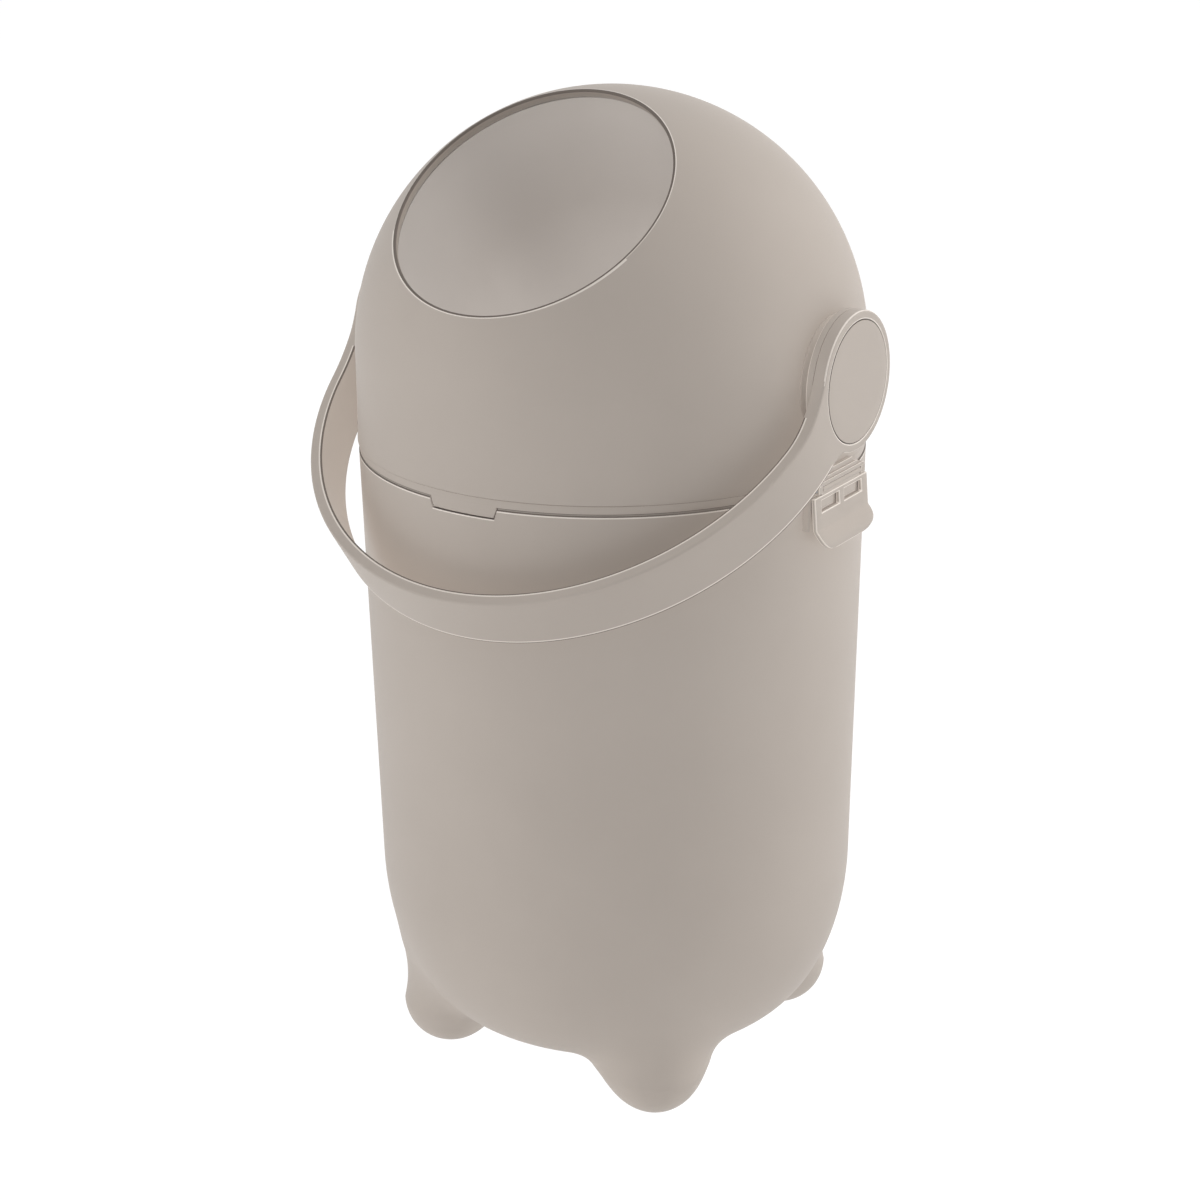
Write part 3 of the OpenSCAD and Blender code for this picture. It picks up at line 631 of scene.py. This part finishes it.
bail = {
    "innerR": 137.0,
    "thick": 6.6,
    "straight": 37.5,
    "up": 13.8,
    "down": -17.4,
    "rest": 34.4,
    "hubR": 35.0,
    "webUp": 60.0,
    "webDown": 12.0,
    "outerRound": 1.3,
    "innerRound": 0.6,
    "shadeW": 0.3,          # painted shade and painted highlight lines along the edges
    "litW": 0.8,
    "recessR": 30.7,
    "recess": 2.0,
    "capR": 30.4,
    "pocketR": 12.5,        # the screw's pocket in the middle of a hub
    "backX": 133.3,         # inner face of a hub back
    "backRound": 1.0,
    "steps": 160,
    "across": 9,
}
restAngle = math.radians(bail["rest"])
cosRest, sinRest = math.cos(restAngle), math.sin(restAngle)


def bailPoint(s, n, w, side=1):
    # s runs along the bail from the hub's axis, n across it, w out through its thickness
    if s <= bail["straight"]:
        x, u = bail["innerR"] + w, s
    else:
        turn = (s - bail["straight"]) / bail["innerR"]
        x = (bail["innerR"] + w) * math.cos(turn)
        u = bail["straight"] + (bail["innerR"] + w) * math.sin(turn)
    return (side * x, -u * cosRest - n * sinRest, hubZ - u * sinRest + n * cosRest)


webMidU = math.sqrt((bail["hubR"] + bail["webUp"]) ** 2 - (bail["up"] + bail["webUp"]) ** 2)
webMidN = bail["up"] + bail["webUp"]
lowMidU = math.sqrt((bail["hubR"] + bail["webDown"]) ** 2 - (-bail["down"] + bail["webDown"]) ** 2)
lowMidN = bail["down"] - bail["webDown"]


def upperEdge(u):
    return webMidN - math.sqrt(bail["webUp"] ** 2 - (webMidU - u) ** 2) if u < webMidU else bail["up"]


def bandLoop(low, high):
    # rounded section of the band as (n, w), starting on the outer face
    t, ro, ri, across = bail["thick"], bail["outerRound"], bail["innerRound"], bail["across"]
    loop = [(low + ro, t)] + [(n, t) for n in np.linspace(low + ro + bail["litW"], high - ro, across - 1)]
    loop += [(p[0], p[1]) for p in arc((high - ro, t - ro), ro, 90, 0, 5)[1:]]
    loop += [(high, ri + bail["shadeW"] + bail["litW"]), (high, ri + bail["shadeW"])]
    loop += [(p[0], p[1]) for p in arc((high - ri, ri), ri, 0, -90, 3)]
    loop += [(n, 0.0) for n in np.linspace(high - ri, low + ri, across)[1:]]
    loop += [(p[0], p[1]) for p in arc((low + ri, ri), ri, -90, -180, 3)[1:]]
    loop += [(p[0], p[1]) for p in arc((low + ro, t - ro), ro, 180, 90, 5)[:-1]]
    return loop


def hubOutline():
    # boundary of hub and webs from the upper edge at the arm, round the back, to the lower edge
    s0 = bail["straight"]
    edge = [((s0, upperEdge(s0)), (0.0, 1.0))]
    hubTouch = math.atan2(webMidN, webMidU)
    fromA = math.atan2(upperEdge(s0) - webMidN, s0 - webMidU)
    toA = math.atan2(-webMidN, -webMidU)
    for i in range(1, 9):
        a = fromA + (toA - fromA) * i / 8
        b = (webMidU + bail["webUp"] * math.cos(a), webMidN + bail["webUp"] * math.sin(a))
        edge.append((b, (-math.cos(a), -math.sin(a))))
    lowTouch = math.atan2(lowMidN, lowMidU)
    steps = 84
    for i in range(1, steps):
        a = hubTouch + (2 * math.pi + lowTouch - hubTouch) * i / steps
        edge.append(((bail["hubR"] * math.cos(a), bail["hubR"] * math.sin(a)), (math.cos(a), math.sin(a))))
    fromA = math.atan2(-lowMidN, -lowMidU)
    for i in range(0, 7):
        a = fromA + (math.pi / 2 - fromA) * i / 6
        b = (lowMidU + bail["webDown"] * math.cos(a), lowMidN + bail["webDown"] * math.sin(a))
        edge.append((b, (-math.cos(a), -math.sin(a))))
    edge.append(((s0, bail["down"]), (0.0, -1.0)))
    return edge


def hubPatch(side, points, faces):
    t, ro, ri = bail["thick"], bail["outerRound"], bail["innerRound"]
    ring, depth = bail["recessR"], bail["recess"]

    def recessSteps(angle):
        # chamfered edge of the recess, its wall and its floor, as (radius, w)
        return [((r * math.cos(angle), r * math.sin(angle)), w) for r, w in
                ((bail["pocketR"], t - depth), (ring, t - depth), (ring, t - 0.3),
                 (ring + 0.09, t - 0.09), (ring + 0.3, t), (ring + 0.65, t))]

    start = len(points)
    edge = hubOutline()
    rows = []
    for (b, normal) in edge:
        p = (b[0] - normal[0] * ro, b[1] - normal[1] * ro)
        angle = math.atan2(p[1], p[0])
        row = recessSteps(angle)
        for v in np.linspace(math.pi / 2, 0, 6):
            back = ro - ro * math.cos(v)
            row.append(((b[0] - normal[0] * back, b[1] - normal[1] * back), t - ro + ro * math.sin(v)))
        for v in np.linspace(0, -math.pi / 2, 4):
            back = ri - ri * math.cos(v)
            row.append(((b[0] - normal[0] * back, b[1] - normal[1] * back), ri + ri * math.sin(v)))
        row.append(((bail["pocketR"] * math.cos(angle), bail["pocketR"] * math.sin(angle)), 0.0))
        rows.append(row)
    for row in rows:
        points += [bailPoint(u, n, w, side) for (u, n), w in row]
    faces += loftFaces(len(rows), len(rows[0]), True, False, start)
    # outer and inner faces towards the arm
    s0 = bail["straight"]
    high, low = upperEdge(s0), bail["down"]
    for outer in (True, False):
        inset = ro if outer else ri
        start = len(points)
        ns = np.linspace(low + inset, high - inset, bail["across"])
        if outer:
            upper = np.linspace(low + inset + bail["litW"], high - inset, bail["across"] - 1)
            ns = [low + inset] + list(upper)
        for n in ns:
            angle = math.atan2(n, s0)
            if outer:
                row = recessSteps(angle)
                foot = row[-1][0]
                row += [((foot[0] + (s0 - foot[0]) * k / 3, foot[1] + (n - foot[1]) * k / 3), t)
                        for k in (1, 2, 3)]
            else:
                foot = (bail["pocketR"] * math.cos(angle), bail["pocketR"] * math.sin(angle))
                row = [((foot[0] + (s0 - foot[0]) * k / 3, foot[1] + (n - foot[1]) * k / 3), 0.0)
                       for k in (0, 1, 2, 3)]
            points += [bailPoint(u, m, w, side) for (u, m), w in row]
        faces += loftFaces(len(ns), len(row), False, False, start)


def buildBail():
    points, faces = [], []
    for side in (1, -1):
        hubPatch(side, points, faces)
    s0 = bail["straight"]
    length = math.pi * bail["innerR"]
    start = len(points)
    for i in range(bail["steps"] + 1):
        s = s0 + length * i / bail["steps"]
        nearest = min(s, 2 * s0 + length - s)
        turn = (nearest - s0) / bail["innerR"]
        u = s0 + (bail["innerR"] + bail["thick"] / 2) * math.sin(turn) if turn < 1.2 else 200
        loop = bandLoop(bail["down"], upperEdge(u) if i not in (0, bail["steps"]) else upperEdge(s0))
        points += [bailPoint(s, n, w) for n, w in loop]
    faces += loftFaces(bail["steps"] + 1, len(loop), True, False, start)
    handle = makePiece("bailHandle", points, faces, "turner", "taupe_plastic", ["handle_bail"],
                       sharp=35, weld=0.02)

    def bailPlace(centre):
        # along the bail from the hub's axis, across it and through its thickness
        x, y, z = centre[0], centre[1], centre[2] - hubZ
        u = -y * cosRest - z * sinRest
        n = -y * sinRest + z * cosRest
        if u < bail["straight"]:
            return u, n, abs(x) - bail["innerR"]
        return u, n, math.hypot(x, u - bail["straight"]) - bail["innerR"]

    def isShaded(centre):
        u, n, w = bailPlace(centre)
        if u < bail["hubR"] + 6:
            return False
        innerTop = w < bail["innerRound"] + bail["shadeW"] and n > upperEdge(u) - bail["innerRound"]
        return innerTop or (n < bail["down"] + bail["outerRound"] and w > bail["thick"] - bail["outerRound"])

    def isLit(centre):
        u, n, w = bailPlace(centre)
        if u > bail["hubR"] + 6:
            innerTop = 0 < w - bail["innerRound"] - bail["shadeW"] < bail["litW"] and n > upperEdge(u) - 0.2
            lowerLip = 0 < n - bail["down"] - bail["outerRound"] < bail["litW"] and w > bail["thick"] - 0.1
            return innerTop or lowerLip
        r = math.hypot(u, n)
        fromFace = (bail["thick"] - w) / bail["outerRound"]
        hubRim = 0.12 < fromFace < 0.7 and 32.5 < r < bail["hubR"]
        return hubRim or (bail["recessR"] < r < bail["recessR"] + 0.6 and w > bail["thick"] - 0.2)

    # Painted shade: dark lines on the bail's inner top edge and under its lower outer edge; painted
    # highlight: lighter lines beside them, round the hub's rim and round the cap's recess
    finishFaces(handle, edgeShade, isShaded)
    finishFaces(handle, edgeHighlight, isLit)
    return handle


buildBail()
for side in (1, -1):
    hand = "Right" if side > 0 else "Left"
    lowNode = "right" if side > 0 else "left"
    x0, x1 = bail["backX"], bail["innerR"] - 0.05
    r, e = bail["hubR"], bail["backRound"]
    section = [(20, x0)] + arc((r - e, x0 + e), e, -90, 0, 4)
    section += arc((r - 0.3, x1 - 0.3), 0.3, 0, 90, 2) + [(20, x1)]
    back = revolve("hubBack" + hand, section, aboutHub(side), 128, "turner", "taupe_plastic",
                   [lowNode + "_hub_back"])
    # Painted highlight: a lighter line round the hub back's inner rounded edge
    finishFaces(back, edgeHighlight, lambda c: abs(c[0]) < x0 + 0.8 and math.hypot(c[1], c[2] - hubZ) > r - 0.6)
    face = bail["innerR"] + bail["thick"]
    r, e = bail["capR"], 0.3
    section = [(0.01, face - bail["recess"]), (r, face - bail["recess"])] + \
        arc((r - e, face - e), e, 0, 90, 4) + [(k, face) for k in (24, 16, 8, 0.01)]
    cap = revolve("hubCap" + hand, section, aboutHub(side), 128, "turner", "taupe_plastic",
                  [lowNode + "_hub_cap"])
    # Painted shade: the cap's rounded rim is coloured dark, a shaded line round the recess
    finishFaces(cap, edgeShade, lambda c: math.hypot(c[1], c[2] - hubZ) > bail["capR"] - 0.3)
print("handle made")


# Latches: a leaning plate with a fold and a flared lip, two windows with a hook in each

latch = {
    "halfW": 27.5,
    "topZ": 343.6,
    "topX": 136.0,
    "foldZ": 327.2,
    "foldX": 137.4,
    "lipZ": 316.4,
    "lipX": 142.0,
    "thick": 2.2,
    "cornerW": 14.0,
    "cornerH": 8.5,
    "rows": (8.5, 7.0, 5.6, 4.2, 3.0, 1.9, 0.9, 0.0),      # rows of the mesh above the lip's end
    "windowW": 18.6,
    "barW": 5.0,
    "windowLowZ": 335.3,
    "windowH": 6.0,
    "toothW": 12.5,
    "toothH": 4.3,
    "toothSink": 0.5,
    "pinX": 135.0,
    "pinZ": 346.6,
    "knuckleR": 1.7,
    "knuckleHalfW": 20.0,
    "edge": 0.5,
}


def latchX(y, z):
    # outer face of the plate: leaning, then bent out below the fold, then nearly upright at the lip's end
    top, fold, low = latch["topZ"], latch["foldZ"], latch["lipZ"]
    if z >= fold:
        return latch["topX"] + (latch["foldX"] - latch["topX"]) * (top - z) / (top - fold)
    run = (fold - z) / (fold - low)
    flare = math.sin(min(run * 1.25, 1.0) * math.pi / 2)
    return latch["foldX"] + (latch["lipX"] - latch["foldX"]) * flare


def buildLatch(side):
    low, cw, ch, hw = latch["lipZ"], latch["cornerW"], latch["cornerH"], latch["halfW"]
    wz0, wz1 = latch["windowLowZ"], latch["windowLowZ"] + latch["windowH"]
    toothZ = wz1 - latch["toothH"]
    zs = [latch["topZ"], latch["topZ"] - 1.2, wz1, toothZ, wz0, latch["foldZ"] + 3, latch["foldZ"] + 0.4,
          latch["foldZ"] - 0.4, latch["foldZ"] - 1.6] + [low + d for d in latch["rows"]]
    w, bar, tooth = latch["windowW"], latch["barW"], latch["toothW"]
    marks = [-w - bar / 2, -w - bar / 2 + tooth, -bar / 2, bar / 2, bar / 2 + tooth, bar / 2 + w]
    ys = sorted([-hw, hw] + marks)

    def halfAt(z):
        drop = (low + ch - z) / ch
        return hw if drop <= 0 else hw - cw + cw * math.sqrt(max(1 - drop * drop, 0))

    points = []
    for z in zs:
        scale = halfAt(z) / hw
        points += [(side * latchX(y, z), y * scale, z) for y in ys]
    faces = []
    holes = ((marks[0], marks[2]), (marks[3], marks[5]))
    for i in range(len(zs) - 1):
        for j in range(len(ys) - 1):
            midY, midZ = (ys[j] + ys[j + 1]) / 2, (zs[i] + zs[i + 1]) / 2
            if wz0 < midZ < wz1 and any(start < midY < end for start, end in holes):
                continue
            a = i * len(ys) + j
            b = a + len(ys)
            faces.append((a, a + 1, b + 1, b) if side < 0 else (a, b, b + 1, a + 1))
    name = "latchPlate" + ("Right" if side > 0 else "Left")
    body = ("right" if side > 0 else "left") + "_latch"
    mesh = bpy.data.meshes.new(name)
    mesh.from_pydata([tuple(p) for p in toMetres(points)], [], faces)
    for polygon in mesh.polygons:
        polygon.use_smooth = True
    plate = bpy.data.objects.new(name, mesh)
    scene.collection.objects.link(plate)
    mesh.materials.append(finishes["taupe_plastic"])
    solid = plate.modifiers.new("thickness", "SOLIDIFY")
    solid.thickness = latch["thick"] * 0.001
    solid.offset = -1.0
    # The plate's rounded edges take a painted highlight
    roundEdges(plate, latch["edge"], 3, 40, True)
    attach(plate, body)
    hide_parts(body)
    # the hooks' ends fill the upper part of each window
    for k, a in enumerate((marks[0], marks[3])):
        front = [latchX(0, z) - latch["toothSink"] for z in (toothZ, wz1 + 0.8)]
        back = 2.0
        corners = []
        for x0, z in ((front[0], toothZ), (front[1], wz1 + 0.8)):
            for y in (a - 0.6, a + tooth):
                corners += [(side * x0, y, z), (side * (x0 - back), y, z)]
        box = [(0, 1, 3, 2), (4, 6, 7, 5), (0, 2, 6, 4), (1, 5, 7, 3), (0, 4, 5, 1), (2, 3, 7, 6)]
        hook = makePiece(name + "Hook" + str(k + 1), corners, box, body, "taupe_plastic")
        # The hooks' rounded edges take a painted highlight
        roundEdges(hook, 0.3, 2, 30, True)
    # knuckle round the pin
    px, pz, kr, half = latch["pinX"], latch["pinZ"], latch["knuckleR"], latch["knuckleHalfW"]
    turns = np.linspace(math.radians(-70), math.radians(250), 17)
    ring = [(px + kr * math.cos(v), pz + kr * math.sin(v)) for v in turns]
    ring += [(134.0, latch["topZ"] - 1.5), (135.9, latch["topZ"] - 1.5)]
    points = []
    for y in (-half, -half + 0.3, half - 0.3, half):
        shrink = 0.85 if abs(y) == half else 1.0
        points += [(side * (px + (x - px) * shrink), y, pz + (z - pz) * shrink) for x, z in ring]
    faces = loftFaces(4, len(ring))
    faces += [tuple(range(len(ring))), tuple(3 * len(ring) + i for i in range(len(ring)))[::-1]]
    makePiece(name + "Knuckle", points, faces, body, "taupe_plastic")


bracket = {
    "steps": [   # half width at the foot, half width at the top, front x, low z, high z
        (24.3, 23.2, 136.6, 348.6, 350.6),
        (19.5, 17.8, 136.0, 350.4, 352.6),
        (17.0, 13.5, 135.2, 352.4, 355.2),
    ],
    "cheek": (20.3, 24.3, 133.6, 136.5, 344.9, 349.2),
    "backX": 131.5,
}


def buildBracket(side):
    hand = "Right" if side > 0 else "Left"
    points, faces = [], []
    for low, high, x, z0, z1 in bracket["steps"]:
        start = len(points)
        rc = min(1.6, (z1 - z0) * 0.8)
        outline = [(-low, z0), (low, z0)]
        outline += [(high - rc + p[0], z1 - rc + p[1]) for p in arc((0, 0), rc, 0, 90, 4)]
        outline += [(-high + rc + p[0], z1 - rc + p[1]) for p in arc((0, 0), rc, 90, 180, 4)]
        for px in (x, bracket["backX"]):
            points += [(side * px, y, z) for y, z in outline]
        faces += loftFaces(2, len(outline), True, False, start)
        faces.append(tuple(start + i for i in range(len(outline))))
        faces.append(tuple(start + len(outline) + i for i in range(len(outline)))[::-1])
    y0, y1, x0, x1, z0, z1 = bracket["cheek"]
    for sign in (-1, 1):
        start = len(points)
        for px in (x1, x0):
            points += [(side * px, sign * y, z) for y, z in ((y0, z0), (y1, z0), (y1, z1), (y0, z1))]
        faces += loftFaces(2, 4, True, False, start)
        faces += [tuple(start + i for i in range(4)), tuple(start + 4 + i for i in range(4))[::-1]]
    piece = makePiece("latchBracket" + hand, points, faces, "lid", "taupe_plastic",
                      [("right" if side > 0 else "left") + "_latch_bracket"], weld=0.0005)
    # The bracket's rounded edges take a painted highlight
    roundEdges(piece, 0.4, 3, 30, True)


for side in (1, -1):
    buildLatch(side)
    buildBracket(side)
print("latches made")


# Cup: a smooth deep bowl seen through the opening

cup = {
    "r": 73.5,
    "wall": 2.5,
    "depth": 112.0,
    "taper": 7.5,           # the round bottom is this much smaller than the mouth
    "lipW": 6.2,
    "lipT": 3.6,
    "drumR": 128.0,
    "sectors": 192,
    "rows": 60,
}


def buildCup():
    lipR = cup["r"] + cup["lipW"]
    mouthH = math.sqrt(cup["drumR"] ** 2 - lipR ** 2)
    ledgeH = mouthH - cup["lipT"]
    bowlR = cup["r"] - cup["taper"]
    bowlH = mouthH - cup["depth"] + bowlR
    rise = mouthH - bowlH
    lean = math.atan2(rise, cup["r"]) - math.acos(bowlR / math.hypot(cup["r"], rise))

    def bottom(radius, i):
        a = lean - (math.pi / 2 + lean) * i / cup["rows"]
        return (max(radius * math.cos(a), 0.01), bowlH + radius * math.sin(a))

    section = [bottom(bowlR + cup["wall"], i) for i in range(cup["rows"], -1, -1)]
    wallR = cup["r"] + cup["wall"] / math.cos(lean) - cup["lipT"] * math.tan(-lean)
    section += [(wallR, ledgeH), (lipR, ledgeH)]
    section += [(r, math.sqrt(cup["drumR"] ** 2 - r ** 2)) for r in np.linspace(lipR, cup["r"] + 0.5, 6)]
    lipH = math.sqrt(cup["drumR"] ** 2 - cup["r"] ** 2)
    section.append((cup["r"], lipH - 0.5))
    tangent = bottom(bowlR, 0)
    section += [(cup["r"] + (tangent[0] - cup["r"]) * k / 8, mouthH + (tangent[1] - mouthH) * k / 8)
                for k in range(8)]
    section += [bottom(bowlR, i) for i in range(cup["rows"] + 1)]
    return revolve("cupBowl", section, aboutMouth, cup["sectors"], "turner", "cup_plastic",
                   ["drum_cup"], sharp=30)


cupPiece = buildCup()
print("cup made")

# CAD nodes that stay get their finish
slotOf = {entry["node"]: entry["material_slot"] for entry in frame["record"]["subparts"]}
for name, node in frame["nodes"].items():
    node.data.materials.clear()
    node.data.materials.append(finishes[slotOf[name]])
print("finishes set")


# Floor, light and camera

studio = {
    "worldLight": 0.30,
    "lamps": [   # place in metres, width, height, power in watts
        ("lampLeft", (-1.32, -1.50, 0.50), 0.7, 1.4, 19.5),
        ("lampRight", (1.89, 0.64, 0.50), 0.7, 1.4, 14.3),
        ("lampBack", (0.9, 1.3, 1.9), 0.9, 0.9, 29.0),
        ("lampLow", (0.9, -1.35, 0.12), 1.0, 0.2, 4.2),
        ("lampTop", (0.2, -0.5, 2.1), 0.8, 0.8, 7.0),
        ("lampCup", (0.2, -1.5, 0.40), 0.8, 0.8, 8.0),       # reaches the cup alone
    ],
    "aim": (0.0, 0.0, 0.28),
}


def paleFloor():
    # matt pale floor that shows white to the camera
    material, tree, output, place = newMaterial("paintedPaleFloor")
    speckle = addNode(tree, "ShaderNodeTexNoise", {"Vector": place}, inputs={"Scale": 40.0, "Detail": 2.0})
    ramp = addNode(tree, "ShaderNodeValToRGB", {"Fac": speckle.outputs["Fac"]})
    ramp.color_ramp.elements[0].color = linear("#f4f4f4")
    ramp.color_ramp.elements[1].color = linear("#f8f8f8")
    matt = addNode(tree, "ShaderNodeBsdfPrincipled", {"Base Color": ramp.outputs["Color"]},
                   inputs={"Roughness": 0.9, "Metallic": 0.0})
    white = addNode(tree, "ShaderNodeEmission", inputs={"Color": (1, 1, 1, 1), "Strength": 1.08})
    rays = addNode(tree, "ShaderNodeLightPath")
    seen = addNode(tree, "ShaderNodeMath",
                   {0: rays.outputs["Is Camera Ray"], 1: rays.outputs["Is Glossy Ray"]},
                   operation="MAXIMUM")
    seen = addNode(tree, "ShaderNodeMath", {0: seen.outputs[0], 1: rays.outputs["Is Transmission Ray"]},
                   operation="MAXIMUM")
    share = addNode(tree, "ShaderNodeMath", {0: seen.outputs[0]}, operation="MULTIPLY", inputs={1: 0.9})
    mix = addNode(tree, "ShaderNodeMixShader",
                  {0: share.outputs[0], 1: matt.outputs[0], 2: white.outputs[0]})
    tree.links.new(mix.outputs[0], output.inputs["Surface"])
    return material


floorMesh = bpy.data.meshes.new("studioFloor")
floorMesh.from_pydata([(-6, -6, 0), (6, -6, 0), (6, 6, 0), (-6, 6, 0)], [], [(0, 1, 2, 3)])
floor = bpy.data.objects.new("studioFloor", floorMesh)
scene.collection.objects.link(floor)
floorMesh.materials.append(paleFloor())

world = bpy.data.worlds.new("studioWorld")
scene.world = world
world.use_nodes = True
tree = world.node_tree
tree.nodes.clear()
rays = addNode(tree, "ShaderNodeLightPath")
seen = addNode(tree, "ShaderNodeMath", {0: rays.outputs["Is Camera Ray"], 1: rays.outputs["Is Glossy Ray"]},
               operation="MAXIMUM")
seen = addNode(tree, "ShaderNodeMath", {0: seen.outputs[0], 1: rays.outputs["Is Transmission Ray"]},
               operation="MAXIMUM")
light = addNode(tree, "ShaderNodeBackground",
                inputs={"Color": (1, 1, 1, 1), "Strength": studio["worldLight"]})
white = addNode(tree, "ShaderNodeBackground", inputs={"Color": (1, 1, 1, 1), "Strength": 1.0})
mix = addNode(tree, "ShaderNodeMixShader", {0: seen.outputs[0], 1: light.outputs[0], 2: white.outputs[0]})
out = addNode(tree, "ShaderNodeOutputWorld", {"Surface": mix.outputs[0]})

for name, place, width, height, power in studio["lamps"]:
    lampData = bpy.data.lights.new(name, "AREA")
    lampData.shape = "RECTANGLE"
    lampData.size = width
    lampData.size_y = height
    lampData.energy = power
    lampData.use_shadow = False      # soft even light all round, as in the photograph
    lamp = bpy.data.objects.new(name, lampData)
    scene.collection.objects.link(lamp)
    lamp.location = place
    lamp.visible_glossy = False      # the matt plastic shows no lamp shapes
    toward = Vector(studio["aim"]) - Vector(place)
    lamp.rotation_euler = toward.to_track_quat("-Z", "Y").to_euler()
    if name == "lampCup":
        lamp.light_linking.receiver_collection = bpy.data.collections.new("litByLampCup")
        lamp.light_linking.receiver_collection.objects.link(cupPiece)

camera = {
    "place": (622.64, -946.70, 677.54),      # about the pail's axis
    "right": (0.8341, 0.5516, -0.0111),
    "forward": (-0.5202, 0.7797, -0.3485),
    "focalPixels": 2230.34,                  # for a frame 1200 pixels wide
}
cameraData = bpy.data.cameras.new("photoCamera")
cameraData.sensor_fit = "HORIZONTAL"
cameraData.sensor_width = 36.0
cameraData.lens = camera["focalPixels"] * 36.0 / 1200
cameraData.clip_start = 0.05
cameraData.clip_end = 30
photoCamera = bpy.data.objects.new("photoCamera", cameraData)
scene.collection.objects.link(photoCamera)
right = Vector(camera["right"]).normalized()
back = -Vector(camera["forward"]).normalized()
up = back.cross(right).normalized()
right = up.cross(back).normalized()
spot = Vector((camera["place"][0], camera["place"][1] + pail["axisY"], camera["place"][2])) * 0.001
photoCamera.matrix_world = Matrix(((right.x, up.x, back.x, spot.x), (right.y, up.y, back.y, spot.y),
                                   (right.z, up.z, back.z, spot.z), (0, 0, 0, 1)))
scene.camera = photoCamera
scene.view_settings.view_transform = "Standard"
print("studio made")
